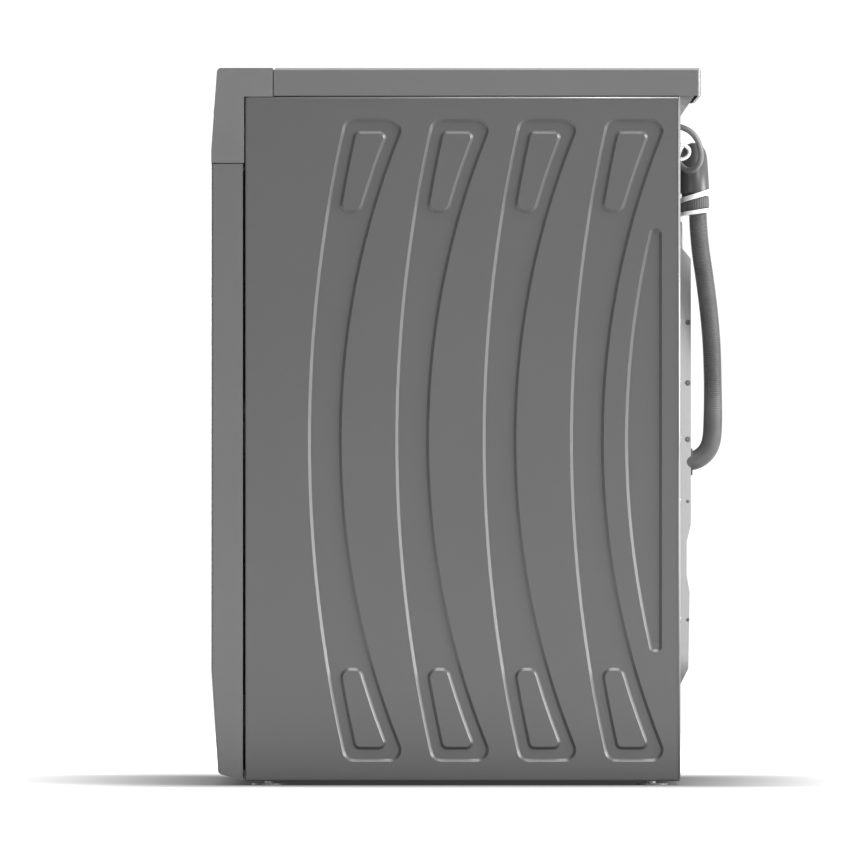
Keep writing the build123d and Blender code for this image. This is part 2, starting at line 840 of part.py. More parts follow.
lock_width = 38
with BuildPart() as door_lock:
    with Locations((hook_x, seat_y + sheet + touch, drum_z)):
        Box(lock_width, 30, 64, align=(Align.CENTER, Align.MIN, Align.CENTER))
    with Locations((hook_x, seat_y, drum_z)):
        Box(hook_slot[0], 24, hook_slot[1], align=(Align.CENTER, Align.MIN, Align.CENTER), mode=Mode.SUBTRACT)
door_lock.part.label = "door_lock"
export_step(door_lock.part, "parts/door_lock.step")

lug_thickness = 6
with BuildPart() as hinge_bracket:
    with BuildSketch(Plane.XY.offset(drum_z)):
        with Locations((hinge_x, hinge_y)):
            Circle(hinge_knuckle_radius - 1)
            with Locations((-3, 12)):
                Rectangle(18, 18)
    extrude(amount=hinge_half_height + touch + lug_thickness, both=True)
    with Locations((hinge_x, hinge_y, drum_z)):
        Box(80, 60, 2 * (hinge_half_height + touch), mode=Mode.SUBTRACT)
    with Locations((hinge_x - 7, hinge_y + 21 + touch, drum_z)):
        Box(
            18,
            4,
            2 * (hinge_half_height + lug_thickness + 12),
            align=(Align.CENTER, Align.MIN, Align.CENTER),
        )
    with Locations((hinge_x, hinge_y, drum_z)):
        Cylinder(hinge_pin_radius, 2 * (hinge_half_height + lug_thickness))
hinge_bracket.part.label = "hinge_bracket"
export_step(hinge_bracket.part, "parts/hinge_bracket.step")

arm_half_height = hinge_half_height - 0.4
with BuildPart() as hinge_arm:
    with BuildSketch(Plane.XY.offset(drum_z)):
        with Locations((hinge_x, hinge_y)):
            Circle(hinge_knuckle_radius)
        Polygon(
            (hinge_x, hinge_y - 4),
            (-door_radius + 24, hinge_y - 4),
            (-door_radius + 24, hinge_y + 3),
            (hinge_x, hinge_y + 3),
            align=None,
        )
        with Locations((hinge_x, hinge_y)):
            Circle(hinge_pin_radius + pin_clearance, mode=Mode.SUBTRACT)
    extrude(amount=arm_half_height, both=True)
hinge_arm.part.label = "hinge_arm"
export_step(hinge_arm.part, "parts/hinge_arm.step")

# The ring is pocketed where the hinge arm lies in it.
with BuildPart() as door_ring:
    add(ring_blank.part)
    add(hinge_arm.part, mode=Mode.SUBTRACT)
door_ring.part.label = "door_ring"
export_step(door_ring.part, "parts/door_ring.step")

# ======== Door gasket ========
gasket_wall = 2.6
neck_y = tub_front_y - tub_wall - 16
with BuildPart() as door_gasket:
    with BuildSketch(Plane.YZ):
        with BuildLine():
            Polyline(
                (seat_y - 1, drum_z + seat_bore_radius - 2),
                (seat_y + 8, drum_z + seat_bore_radius - 2),
                (seat_y + 14, drum_z + 148),
                (neck_y - 9, drum_z + 148),
                (neck_y - 4, drum_z + tub_mouth_radius + tub_wall + 2),
                (neck_y + 13, drum_z + tub_mouth_radius + tub_wall + 2),
            )
        trace(line_width=gasket_wall)
        with BuildLine():
            Polyline(
                (seat_y + 10, drum_z + 160),
                (seat_y + 3, drum_z + 150),
                (seat_y + 3, drum_z + bowl_radius - 1),
            )
        trace(line_width=gasket_wall)
    revolve(axis=drum_axis)
door_gasket.part.label = "door_gasket"
export_step(door_gasket.part, "parts/door_gasket.step")

# ======== Tub ========
joint_flange = 10
joint_thickness = 6
tub_outer = tub_radius + tub_wall
ear_x = spring_x
spout_y = -165
spout_x = 205
spout_radius = 18
spout_low_z = 223
dispenser_hose_spot = (-190, -190)
spigot_radius = 11.7
spigot_top_z = 642
with BuildPart() as tub_front:
    with BuildSketch(Plane.YZ):
        Polygon(
            (neck_y, drum_z + tub_mouth_radius),
            (neck_y, drum_z + tub_mouth_radius + tub_wall - 1),
            (tub_front_y - tub_wall, drum_z + tub_mouth_radius + tub_wall - 1),
            (tub_front_y - tub_wall, drum_z + tub_outer),
            (tub_joint_y - joint_thickness, drum_z + tub_outer),
            (tub_joint_y - joint_thickness, drum_z + tub_outer + joint_flange),
            (tub_joint_y, drum_z + tub_outer + joint_flange),
            (tub_joint_y, drum_z + tub_radius),
            (tub_front_y, drum_z + tub_radius),
            (tub_front_y, drum_z + tub_mouth_radius),
            align=None,
        )
    revolve(axis=drum_axis)
    for side in (-1, 1):
        with Locations((side * ear_x, spring_y - 12, spring_low_z)):
            Box(26, 24, 90, align=(Align.CENTER, Align.CENTER, Align.MAX))
    with Locations((spout_x, spout_y, spout_low_z)):
        Cylinder(spout_radius, 80, align=(Align.CENTER, Align.CENTER, Align.MIN))
    with Locations((*dispenser_hose_spot, spigot_top_z)):
        Cylinder(spigot_radius, 60, align=(Align.CENTER, Align.CENTER, Align.MAX))
    with BuildSketch(across(tub_front_y)):
        Circle(tub_radius)
    extrude(amount=-(tub_joint_y - tub_front_y), mode=Mode.SUBTRACT)
    with Locations((*dispenser_hose_spot, spigot_top_z + 1)):
        Cylinder(
            spigot_radius - 3,
            80,
            align=(Align.CENTER, Align.CENTER, Align.MAX),
            mode=Mode.SUBTRACT,
        )
    with Locations((spout_x, spout_y, spout_low_z - 1)):
        Cylinder(spout_radius - 3, 90, align=(Align.CENTER, Align.CENTER, Align.MIN), mode=Mode.SUBTRACT)
tub_front.part.label = "tub_front"
export_step(tub_front.part, "parts/tub_front.step")

hub_radius = 46
tub_inner_rear_y = tub_rear_y - 6
hub_rear_y = tub_rear_y + 38
heater_z = drum_z - 250.5
heater_half = 30
lug_z = 195
with BuildPart() as tub_rear:
    with BuildSketch(Plane.YZ):
        Polygon(
            (tub_joint_y + touch, drum_z + tub_radius),
            (tub_joint_y + touch, drum_z + tub_outer + joint_flange),
            (tub_joint_y + joint_thickness, drum_z + tub_outer + joint_flange),
            (tub_joint_y + joint_thickness, drum_z + tub_outer),
            (tub_rear_y, drum_z + tub_outer),
            (tub_rear_y, drum_z + hub_radius),
            (hub_rear_y, drum_z + hub_radius),
            (hub_rear_y, drum_z + bearing_radius),
            (tub_inner_rear_y - 5, drum_z + bearing_radius),
            (tub_inner_rear_y - 5, drum_z + hub_radius - 4),
            (tub_inner_rear_y, drum_z + hub_radius + 6),
            (tub_inner_rear_y, drum_z + tub_radius),
            align=None,
        )
    revolve(axis=drum_axis)
    for side in (-1, 1):
        with Locations((side * damper_x, damper_y, lug_z)):
            Box(30, 26, 30, align=(Align.CENTER, Align.CENTER, Align.MIN))
    with BuildSketch(across(tub_joint_y + 1)):
        Circle(tub_radius)
    extrude(amount=-(tub_inner_rear_y - tub_joint_y - 7), mode=Mode.SUBTRACT)
    with BuildSketch(across(tub_rear_y + 1, z=heater_z)):
        RectangleRounded(2 * heater_half + 12, 12, 5)
    extrude(amount=10, mode=Mode.SUBTRACT)
tub_rear.part.label = "tub_rear"
export_step(tub_rear.part, "parts/tub_rear.step")

with BuildPart() as wash_heater:
    with BuildLine() as element:
        FilletPolyline(
            (-heater_half, tub_rear_y + 14, heater_z),
            (-heater_half, -70, heater_z),
            (heater_half, -70, heater_z),
            (heater_half, tub_rear_y + 14, heater_z),
            radius=heater_half - 4,
        )
    with BuildSketch(across(tub_rear_y + 14, x=-heater_half, z=heater_z)):
        Circle(3.5)
    sweep(path=element.wires()[0])
    with BuildSketch(across(tub_rear_y + touch, z=heater_z)):
        RectangleRounded(2 * heater_half + 28, 24, 6)
    extrude(amount=-4)
wash_heater.part.label = "wash_heater"
export_step(wash_heater.part, "parts/wash_heater.step")

# ======== Drum and drive ========
drum_sheet = 1.2
hole_angles = [60 * k + 30 + step for k in (0, 2, 4) for step in (-24, -12, 0, 12, 24)]
hole_ys = [-150 + 45 * k for k in range(7)]
with BuildPart() as drum_shell:
    with BuildSketch(Plane.YZ):
        Polygon(
            (drum_front_y, drum_z + drum_mouth_radius),
            (drum_front_y, drum_z + drum_radius),
            (drum_rear_y, drum_z + drum_radius),
            (drum_rear_y, drum_z + shaft_radius + 1),
            (drum_rear_y - drum_sheet, drum_z + shaft_radius + 1),
            (drum_rear_y - drum_sheet, drum_z + drum_radius - drum_sheet),
            (drum_front_y + drum_sheet, drum_z + drum_radius - drum_sheet),
            (drum_front_y + drum_sheet, drum_z + drum_mouth_radius + drum_sheet),
            (drum_front_y + 9, drum_z + drum_mouth_radius + drum_sheet),
            (drum_front_y + 9, drum_z + drum_mouth_radius),
            align=None,
        )
    revolve(axis=drum_axis)
    for angle in hole_angles:
        hole_x = drum_radius * cos(radians(angle))
        hole_z = drum_radius * sin(radians(angle))
        for hole_y in hole_ys:
            with BuildSketch(
                Plane(origin=(0.97 * hole_x, hole_y, drum_z + 0.97 * hole_z), z_dir=(hole_x, 0, hole_z))
            ):
                Circle(drum_hole_radius)
    extrude(amount=20, mode=Mode.SUBTRACT)
drum_shell.part.label = "drum_shell"
export_step(drum_shell.part, "parts/drum_shell.step")

paddle_reach = drum_radius - 6
with BuildPart() as drum_paddles:
    with BuildSketch(across(drum_front_y + 20)):
        with PolarLocations(paddle_reach, 3, start_angle=90):
            Polygon((0, -30), (0, 30), (-paddle_height, 11), (-paddle_height, -11), align=None)
    extrude(amount=-(drum_rear_y - drum_front_y - 45))
    fillet(drum_paddles.edges().filter_by(Axis.Y), 4)
drum_paddles.part.label = "drum_paddles"
export_step(drum_paddles.part, "parts/drum_paddles.step")

with BuildPart() as drum_spider:
    with BuildSketch(across(drum_rear_y + touch)):
        Circle(36)
        with PolarLocations(112, 3, start_angle=30):
            Rectangle(226, 36)
    extrude(amount=-12)
    with BuildSketch(across(drum_rear_y + touch)):
        Circle(shaft_radius)
    extrude(amount=-(shaft_rear_y - drum_rear_y))
    chamfer(drum_spider.faces().sort_by(Axis.Y)[-1].edges(), 1.5)
drum_spider.part.label = "drum_spider"
export_step(drum_spider.part, "parts/drum_spider.step")

bearing_ys = (tub_inner_rear_y + 6, hub_rear_y - bearing_width - 1)
running = 0.05
with BuildPart() as drum_bearings:
    for y in bearing_ys:
        with BuildSketch(across(y)):
            Circle(bearing_radius - 0.02)
            Circle(shaft_radius + running, mode=Mode.SUBTRACT)
        extrude(amount=-bearing_width)
    with BuildSketch(across(tub_inner_rear_y - 4)):
        Circle(bearing_radius - 0.02)
        Circle(shaft_radius + running, mode=Mode.SUBTRACT)
    extrude(amount=-9)
drum_bearings.part.label = "drum_bearings"
export_step(drum_bearings.part, "parts/drum_bearings.step")

stator_y = tub_rear_y + 8
stator_depth = 26
with BuildPart() as motor_stator:
    with BuildSketch(across(stator_y)):
        Circle(78)
        with PolarLocations((74 + stator_radius) / 2, pole_count):
            Rectangle(stator_radius - 74, 9)
        Circle(stator_radius, mode=Mode.INTERSECT)
        Circle(hub_radius + 2, mode=Mode.SUBTRACT)
    extrude(amount=-stator_depth)
    with BuildSketch(across(tub_rear_y + touch)):
        with PolarLocations(62, 6):
            Circle(7)
    extrude(amount=-(stator_y - tub_rear_y))
motor_stator.part.label = "motor_stator"
export_step(motor_stator.part, "parts/motor_stator.step")

magnet_inner = stator_radius + air_gap
cup_inner = magnet_inner + magnet_depth
cup_back_y = hub_rear_y + 4
with BuildPart() as motor_rotor:
    with BuildSketch(Plane.YZ):
        Polygon(
            (stator_y, drum_z + cup_inner + 0.1),
            (stator_y, drum_z + cup_inner + 3),
            (cup_back_y + 3, drum_z + cup_inner + 3),
            (cup_back_y + 3, drum_z + 30),
            (cup_back_y + 8, drum_z + 30),
            (cup_back_y + 8, drum_z + shaft_radius),
            (cup_back_y - 2, drum_z + shaft_radius),
            (cup_back_y - 2, drum_z + 26),
            (cup_back_y, drum_z + 30),
            (cup_back_y, drum_z + cup_inner + 0.1),
            align=None,
        )
    revolve(axis=drum_axis)
    with BuildSketch(across(cup_back_y - 1)):
        with PolarLocations(72, 8):
            SlotOverall(44, 14)
    extrude(amount=-6, mode=Mode.SUBTRACT)
    with BuildSketch(across(stator_y + 1)):
        Circle(cup_inner + 1)
        Circle(magnet_inner, mode=Mode.SUBTRACT)
        with PolarLocations(magnet_inner + 1, pole_count):
            Rectangle(2 * magnet_depth - 4, 2, mode=Mode.SUBTRACT)
    extrude(amount=-(stator_depth - 2))
    with BuildSketch(across(cup_back_y + 8)):
        RegularPolygon(22, 6)
        Circle(shaft_radius, mode=Mode.SUBTRACT)
    extrude(amount=-5)
motor_rotor.part.label = "motor_rotor"
export_step(motor_rotor.part, "parts/motor_rotor.step")

# ======== Counterweights, springs and dampers ========
weight_clear = 0.3
top_weight_x = -80
top_weight_y = -95
top_weight_width = 140
top_weight_depth = 120
top_weight_low_z = 485
top_weight_top_z = 736
lower_weight_outer = 252
lower_weight_inner = 180
lower_weight_depth = 30
lower_weight_top = -75
with BuildPart() as counterweights:
    with Locations((top_weight_x, top_weight_y, top_weight_low_z)):
        Box(
            top_weight_width,
            top_weight_depth,
            top_weight_top_z - top_weight_low_z,
            align=(Align.CENTER, Align.CENTER, Align.MIN),
        )
    with BuildSketch(across(-height / 2)):
        Circle(tub_outer + weight_clear)
    extrude(amount=-height, mode=Mode.SUBTRACT)
    with BuildSketch(across(tub_front_y - tub_wall - lower_weight_depth)):
        Circle(lower_weight_outer)
        Circle(lower_weight_inner, mode=Mode.SUBTRACT)
        with Locations((0, lower_weight_top)):
            Rectangle(2 * width, height, align=(Align.CENTER, Align.MIN), mode=Mode.SUBTRACT)
        with Locations((spout_x - 20, lower_weight_top)):
            Rectangle(width, height, align=(Align.MIN, Align.MAX), mode=Mode.SUBTRACT)
    extrude(amount=-(lower_weight_depth - touch))
counterweights.part.label = "counterweights"
export_step(counterweights.part, "parts/counterweights.step")

spring_pitch = 11
spring_height = rail_z - spring_low_z - 8
with BuildPart() as suspension_springs:
    for side in (-1, 1):
        spring_base = Plane(origin=(side * spring_x, spring_y, spring_low_z + 4))
        with BuildLine(spring_base) as coil_line:
            Helix(pitch=spring_pitch, height=spring_height, radius=spring_radius - 2 * spring_wire)
        with BuildSketch(Plane(origin=coil_line.line @ 0, z_dir=coil_line.line % 0)):
            Circle(spring_wire)
        sweep(path=coil_line.line, is_frenet=True)
        for end_z in (spring_low_z + touch, rail_z - 6 - touch):
            with Locations((side * spring_x, spring_y, end_z)):
                Cylinder(spring_radius, 6, align=(Align.CENTER, Align.CENTER, Align.MIN))
suspension_springs.part.label = "suspension_springs"
export_step(suspension_springs.part, "parts/suspension_springs.step")

damper_low_z = base_low_z + sheet
damper_top_z = 112
with BuildPart() as damper_tubes:
    with BuildSketch(level(damper_low_z)):
        with Locations((-damper_x, damper_y), (damper_x, damper_y)):
            Circle(damper_bore + 4)
    extrude(amount=damper_top_z - damper_low_z)
    with BuildSketch(level(damper_low_z + 4)):
        with Locations((-damper_x, damper_y), (damper_x, damper_y)):
            Circle(damper_bore)
    extrude(amount=damper_top_z, mode=Mode.SUBTRACT)
damper_tubes.part.label = "damper_tubes"
export_step(damper_tubes.part, "parts/damper_tubes.step")

with BuildPart() as damper_rods:
    with BuildSketch(level(44)):
        with Locations((-damper_x, damper_y), (damper_x, damper_y)):
            Circle(damper_rod)
    extrude(amount=40)
    with BuildSketch(level(44)):
        with Locations((-damper_x, damper_y), (damper_x, damper_y)):
            Circle(6)
    extrude(amount=lug_z - 44 - touch)
damper_rods.part.label = "damper_rods"
export_step(damper_rods.part, "parts/damper_rods.step")

# ======== Drying duct and fan, carried on the tub ========
duct_x = (22, 112)
duct_y = (-185, 40)
duct_top_z = 742
fan_x = 172
fan_y = 60
fan_radius = 58
fan_low_z = 706
with BuildPart() as drying_duct:
    with Locations((duct_x[0], duct_y[0], drum_z)):
        Box(
            duct_x[1] - duct_x[0],
            duct_y[1] - duct_y[0],
            duct_top_z - drum_z,
            align=(Align.MIN, Align.MIN, Align.MIN),
        )
    with Locations((duct_x[0] + 3, duct_y[0] + 3, drum_z)):
        Box(
            duct_x[1] - duct_x[0] - 6,
            duct_y[1] - duct_y[0] - 6,
            duct_top_z - drum_z - 3,
            align=(Align.MIN, Align.MIN, Align.MIN),
            mode=Mode.SUBTRACT,
        )
    with BuildSketch(across(-400)):
        Circle(tub_outer + joint_flange + weight_clear)
    extrude(amount=-800, mode=Mode.SUBTRACT)
    with BuildSketch(level(fan_low_z)):
        with Locations((fan_x, fan_y)):
            Circle(fan_radius + 3)
    extrude(amount=duct_top_z - fan_low_z)
    with BuildSketch(level(fan_low_z + 3)):
        with Locations((fan_x, fan_y)):
            Circle(fan_radius)
    extrude(amount=duct_top_z - fan_low_z - 6, mode=Mode.SUBTRACT)
    with Locations((fan_x, fan_y, duct_top_z - 10)):
        Cylinder(14, 20, mode=Mode.SUBTRACT)
    for k in range(11):
        with Locations((duct_x[0], duct_y[0] + 42 + 11 * k, 711)):
            Box(duct_x[1] - duct_x[0], 2, 16, align=(Align.MIN, Align.MIN, Align.MIN))
drying_duct.part.label = "drying_duct"
export_step(drying_duct.part, "parts/drying_duct.step")

with BuildPart() as fan_impeller:
    with BuildSketch(level(fan_low_z + 6)):
        with Locations((fan_x, fan_y)):
            Circle(fan_radius - 6)
    extrude(amount=2)
    with BuildSketch(level(fan_low_z + 8)):
        with Locations((fan_x, fan_y)):
            with PolarLocations(fan_radius - 18, 16):
                Rectangle(22, 1.6, rotation=30)
    extrude(amount=16)
    with BuildSketch(level(fan_low_z + 6)):
        with Locations((fan_x, fan_y)):
            Circle(9)
    extrude(amount=32)
fan_impeller.part.label = "fan_impeller"
export_step(fan_impeller.part, "parts/fan_impeller.step")

# ======== Pump, filter and hoses inside ========
bend_share = 0.45


def bend_radii(points):
    """Each corner's radius: 0.45 of its shorter run over the tangent of half its turn."""
    places = [Vector(*p) for p in points]
    found = []
    for before, corner, after in zip(places, places[1:], places[2:]):
        turn = (corner - before).get_angle(after - corner)
        run = min((corner - before).length, (after - corner).length)
        found.append(bend_share * run / tan(radians(turn / 2)))
    return found


def along(start, end, distance):
    """The point at this distance from start towards end."""
    way = Vector(*end) - Vector(*start)
    return tuple(Vector(*start) + way.normalized() * distance)


def report_tube(name, points, radius, tube):
    """Prints a tube's radii, its length, and its volume against section times length."""
    radii = [round(r, 1) for r in bend_radii(points)]
    path = FilletPolyline(*points, radius=bend_radii(points))
    print(name, "radii", radii, "length", round(path.length, 1))
    print(name, "volume ratio", round(tube.volume / (pi * radius**2 * path.length), 4))


pump_front_y = -264
pump_rear_y = -140
with BuildPart() as drain_pump:
    with BuildSketch(across(pump_front_y, x=spout_x, z=pump_z)):
        Circle(pump_radius)
    extrude(amount=-(pump_rear_y - pump_front_y))
    with BuildSketch(across(pump_rear_y, x=spout_x, z=pump_z)):
        Circle(pump_radius - 7)
    extrude(amount=-34)
    with Locations((spout_x, spout_y, pump_z)):
        Cylinder(spout_radius, pump_radius + 18, align=(Align.CENTER, Align.CENTER, Align.MIN))
    with BuildSketch(across(pump_front_y, x=spout_x, z=pump_z)):
        Circle(filter_radius)
    extrude(amount=-70, mode=Mode.SUBTRACT)
    with BuildSketch(across(pump_front_y, x=spout_x, z=pump_z)):
        Circle(22)
    extrude(amount=-(pump_rear_y - pump_front_y - 4), mode=Mode.SUBTRACT)
    with Locations((spout_x, spout_y, pump_z)):
        Cylinder(
            spout_radius - 3,
            pump_radius + 30,
            align=(Align.CENTER, Align.CENTER, Align.MIN),
            mode=Mode.SUBTRACT,
        )
    with Locations((spout_x, pump_rear_y - 16, base_low_z + sheet)):
        Box(36, 24, 42, align=(Align.CENTER, Align.CENTER, Align.MIN))
    with BuildSketch(across(pump_front_y, x=spout_x, z=pump_z)):
        Circle(22)
    extrude(amount=-(pump_rear_y - pump_front_y - 4), mode=Mode.SUBTRACT)
drain_pump.part.label = "drain_pump"
export_step(drain_pump.part, "parts/drain_pump.step")

with BuildPart() as filter_plug:
    with BuildSketch(across(pump_front_y - touch, x=spout_x, z=pump_z)):
        Circle(pump_radius - 1)
    extrude(amount=6)
    with BuildSketch(across(pump_front_y - touch - 6, x=spout_x, z=pump_z)):
        RectangleRounded(46, 9, 3)
    extrude(amount=9)
    with BuildSketch(across(pump_front_y - touch, x=spout_x, z=pump_z)):
        Circle(filter_radius - 0.06)
        Circle(filter_radius - 3, mode=Mode.SUBTRACT)
    extrude(amount=-36)
filter_plug.part.label = "filter_plug"
export_step(filter_plug.part, "parts/filter_plug.step")

with BuildPart() as pump_impeller:
    with BuildSketch(across(pump_rear_y - 8, x=spout_x, z=pump_z)):
        Circle(6)
        with PolarLocations(10, 4):
            Rectangle(14, 2.4)
    extrude(amount=14)
pump_impeller.part.label = "pump_impeller"
export_step(pump_impeller.part, "parts/pump_impeller.step")


def bellows_section(x, y, low, high, inner, rib, folds):
    """Half the section of a bellows that stands at x, y from low to high."""
    step = (high - low) / folds
    outer = [(x + inner + (rib if k % 2 else 1.8), low + k * step / 2) for k in range(2 * folds + 1)]
    inside = [(px - 1.8, pz) for px, pz in reversed(outer)]
    with BuildSketch(Plane(origin=(0, y, 0), x_dir=(1, 0, 0), z_dir=(0, -1, 0))) as section:
        Polygon(*outer, *inside, align=None)
    revolve(section.sketch, axis=Axis((x, y, 0), (0, 0, 1)))


with BuildPart() as tub_bellows:
    bellows_section(
        spout_x, spout_y, pump_z + pump_radius + 19, spout_low_z - 1, spout_radius + 0.3, 6, 7
    )
    bellows_section(*dispenser_hose_spot, 632, housing_low_z - touch, 12, 5, 8)
tub_bellows.part.label = "tub_bellows"
export_step(tub_bellows.part, "parts/tub_bellows.step")

outlet_points = [
    (spout_x - pump_radius - 3, -170, pump_z),
    (130, -165, 70),
    (100, -110, 54),
    (98, -30, 46),
    (102, 60, 48),
    (120, 150, 70),
    (142, 212, 130),
    (150, 236, 210),
    (150, 240, 290),
    (150, 236, 340),
    (150, 238, 368),
    (150, 251, 383),
    (150, 265.9, 383),
]
with BuildPart() as pump_outlet_hose:
    with BuildLine() as outlet_path:
        FilletPolyline(*outlet_points, radius=bend_radii(outlet_points))
    with BuildSketch(Plane(origin=outlet_path.line @ 0, z_dir=outlet_path.line % 0)):
        Circle(outlet_hose_radius)
    sweep(path=outlet_path.wires()[0])
pump_outlet_hose.part.label = "pump_outlet_hose"
export_step(pump_outlet_hose.part, "parts/pump_outlet_hose.step")
report_tube("pump_outlet_hose", outlet_points, outlet_hose_radius, pump_outlet_hose.part)

valve_port = 21
with BuildPart() as inlet_valves:
    with BuildSketch(across(recess_y - sheet - touch, z=0)):
        with Locations(((valve_spots[0][0] + valve_spots[1][0]) / 2, valve_spots[0][1])):
            RectangleRounded(96, 40, 6)
    extrude(amount=40)
    with BuildSketch(across(recess_y - sheet - touch, z=0)):
        with Locations(*valve_spots):
            Circle(valve_radius)
    extrude(amount=-(valve_port + sheet + touch))
    with BuildSketch(across(recess_y + valve_port + 5, z=0)):
        with Locations(*valve_spots):
            Circle(valve_radius - 4)
    extrude(amount=30, mode=Mode.SUBTRACT)
inlet_valves.part.label = "inlet_valves"
export_step(inlet_valves.part, "parts/inlet_valves.step")

# ======== Drain hose ========
drain_points = [
    (150, 266, 383),
    (150, 282.5, 383),
    (150, 297, 391.5),
    (150.5, 305, 406),
    (152, 306.5, 432),
    (157, 306.3, 478),
    (167, 304.5, 532),
    (181, 298, 590),
    (196, 288.5, 650),
    (200, 286.8, 714),
    (165, 285, 749),
    (115, 282, 749),
    (80, 280.5, 714),
    (80, 280.5, 679),
]
with BuildPart() as drain_hose:
    with BuildLine() as drain_path:
        FilletPolyline(*drain_points, radius=bend_radii(drain_points))
    with BuildSketch(Plane(origin=drain_points[0], z_dir=(0, 1, 0))):
        Circle(hose_radius)
    sweep(path=drain_path.wires()[0])
drain_hose.part.label = "drain_hose"
export_step(drain_hose.part, "parts/drain_hose.step")
report_tube("drain_hose", drain_points, hose_radius, drain_hose.part)

hose_clear = 0.25
flange_radius = gland_radius + 3
nose_length = 12
with BuildPart() as rear_grommets:
    with BuildSketch(across(bulge_y - 5, x=hose_exit_x, z=hose_exit_z)):
        Circle(grommet_radius)
        Circle(hose_radius + 1.9, mode=Mode.SUBTRACT)
    extrude(amount=-7)
    with BuildSketch(across(recess_y - 6, x=gland_x, z=gland_z)):
        Circle(gland_radius)
    extrude(amount=-6)
    with BuildSketch(across(recess_y, x=gland_x, z=gland_z)):
        Circle(flange_radius)
    extrude(amount=-2)
    with BuildSketch(across(recess_y + 2, x=gland_x, z=gland_z)):
        Circle(cord_radius + 2.5)
    extrude(amount=-nose_length, taper=5)
rear_grommets.part.label = "rear_grommets"
export_step(rear_grommets.part, "parts/rear_grommets.step")

guide_end_z = 697
guide_foot_z = 703.4
guide_points = [along(drain_points[9], drain_points[8], 30), *drain_points[9:13], (80, 280.5, guide_end_z)]
guide_radii = bend_radii(drain_points)[8:12]
with BuildPart() as hose_guide:
    with BuildLine() as guide_path:
        FilletPolyline(*guide_points, radius=guide_radii)
    with BuildSketch(Plane(origin=guide_path.line @ 0, z_dir=guide_path.line % 0)):
        Circle(hose_radius + 3)
        Circle(hose_radius + hose_clear, mode=Mode.SUBTRACT)
    sweep(path=guide_path.wires()[0])
    with Locations((0, rear_y, guide_foot_z)):
        Box(width, 100, 60, align=(Align.CENTER, Align.CENTER, Align.MAX), mode=Mode.SUBTRACT)
hose_guide.part.label = "hose_guide"
export_step(hose_guide.part, "parts/hose_guide.step")

with BuildPart() as hose_end:
    with BuildSketch(level(drain_points[-1][2] - 1)):
        with Locations(drain_points[-1][:2]):
            Circle(hose_radius + 2)
    extrude(amount=14)
    with BuildSketch(level(drain_points[-1][2])):
        with Locations(drain_points[-1][:2]):
            Circle(hose_radius + touch)
    extrude(amount=30, mode=Mode.SUBTRACT)
hose_end.part.label = "hose_end"
export_step(hose_end.part, "parts/hose_end.step")

# ======== Power cord ========
cord_start = (gland_x, recess_y + 2 + nose_length, gland_z)
coil_x = 112
coil_z = 742
coil_y = 251
coil_mean_radius = coil_radius - cord_radius
cord_points = [
    cord_start,
    (gland_x + 0.5, 272, 781),
    (253, 288, 766),
    (250, 293, 740),
    (231, 277.5, 725.7),
    (212, 262, 740),
    (205, 254, 763),
    (184, coil_y, 781),
    (146, coil_y, 788.5),
    (coil_x, coil_y, coil_z + coil_mean_radius),
]
with BuildPart() as power_cord:
    with BuildLine() as cord_path:
        FilletPolyline(*cord_points, radius=bend_radii(cord_points))
    with BuildSketch(Plane(origin=cord_path.line @ 0, z_dir=cord_path.line % 0)):
        Circle(cord_radius)
    sweep(path=cord_path.wires()[0])
power_cord.part.label = "power_cord"
export_step(power_cord.part, "parts/power_cord.step")
report_tube("power_cord", cord_points, cord_radius, power_cord.part)

with BuildPart() as cord_coil:
    with BuildSketch(across(coil_y - coil_depth / 2, x=coil_x, z=coil_z)):
        Circle(coil_radius)
        Circle(coil_radius - 4 * cord_radius, mode=Mode.SUBTRACT)
    extrude(amount=-coil_depth)
cord_coil.part.label = "cord_coil"
export_step(cord_coil.part, "parts/cord_coil.step")

plug_x = 164
plug_length = 38
plug_relief = 18
plug_z = coil_z - coil_mean_radius
pin_length = 17
with BuildPart() as power_plug:
    with BuildSketch(Plane(origin=(plug_x, coil_y, plug_z), x_dir=(0, 1, 0), z_dir=(1, 0, 0))):
        RectangleRounded(18, 16, 5)
    extrude(amount=plug_length)
    with BuildSketch(Plane(origin=(plug_x, coil_y, plug_z), x_dir=(0, 1, 0), z_dir=(-1, 0, 0))):
        Circle(cord_radius + 2)
    extrude(amount=plug_relief, taper=4)
    with BuildSketch(
        Plane(origin=(plug_x + plug_length, coil_y, plug_z), x_dir=(0, 1, 0), z_dir=(1, 0, 0))
    ):
        with GridLocations(12, 0, 2, 1):
            Circle(2.2)
    extrude(amount=pin_length)
power_plug.part.label = "power_plug"
export_step(power_plug.part, "parts/power_plug.step")

with BuildPart() as cord_tail:
    with BuildSketch(Plane(origin=(coil_x, coil_y, plug_z), x_dir=(0, 1, 0), z_dir=(1, 0, 0))):
        Circle(cord_radius)
    extrude(amount=plug_x - plug_relief - coil_x)
cord_tail.part.label = "cord_tail"
export_step(cord_tail.part, "parts/cord_tail.step")

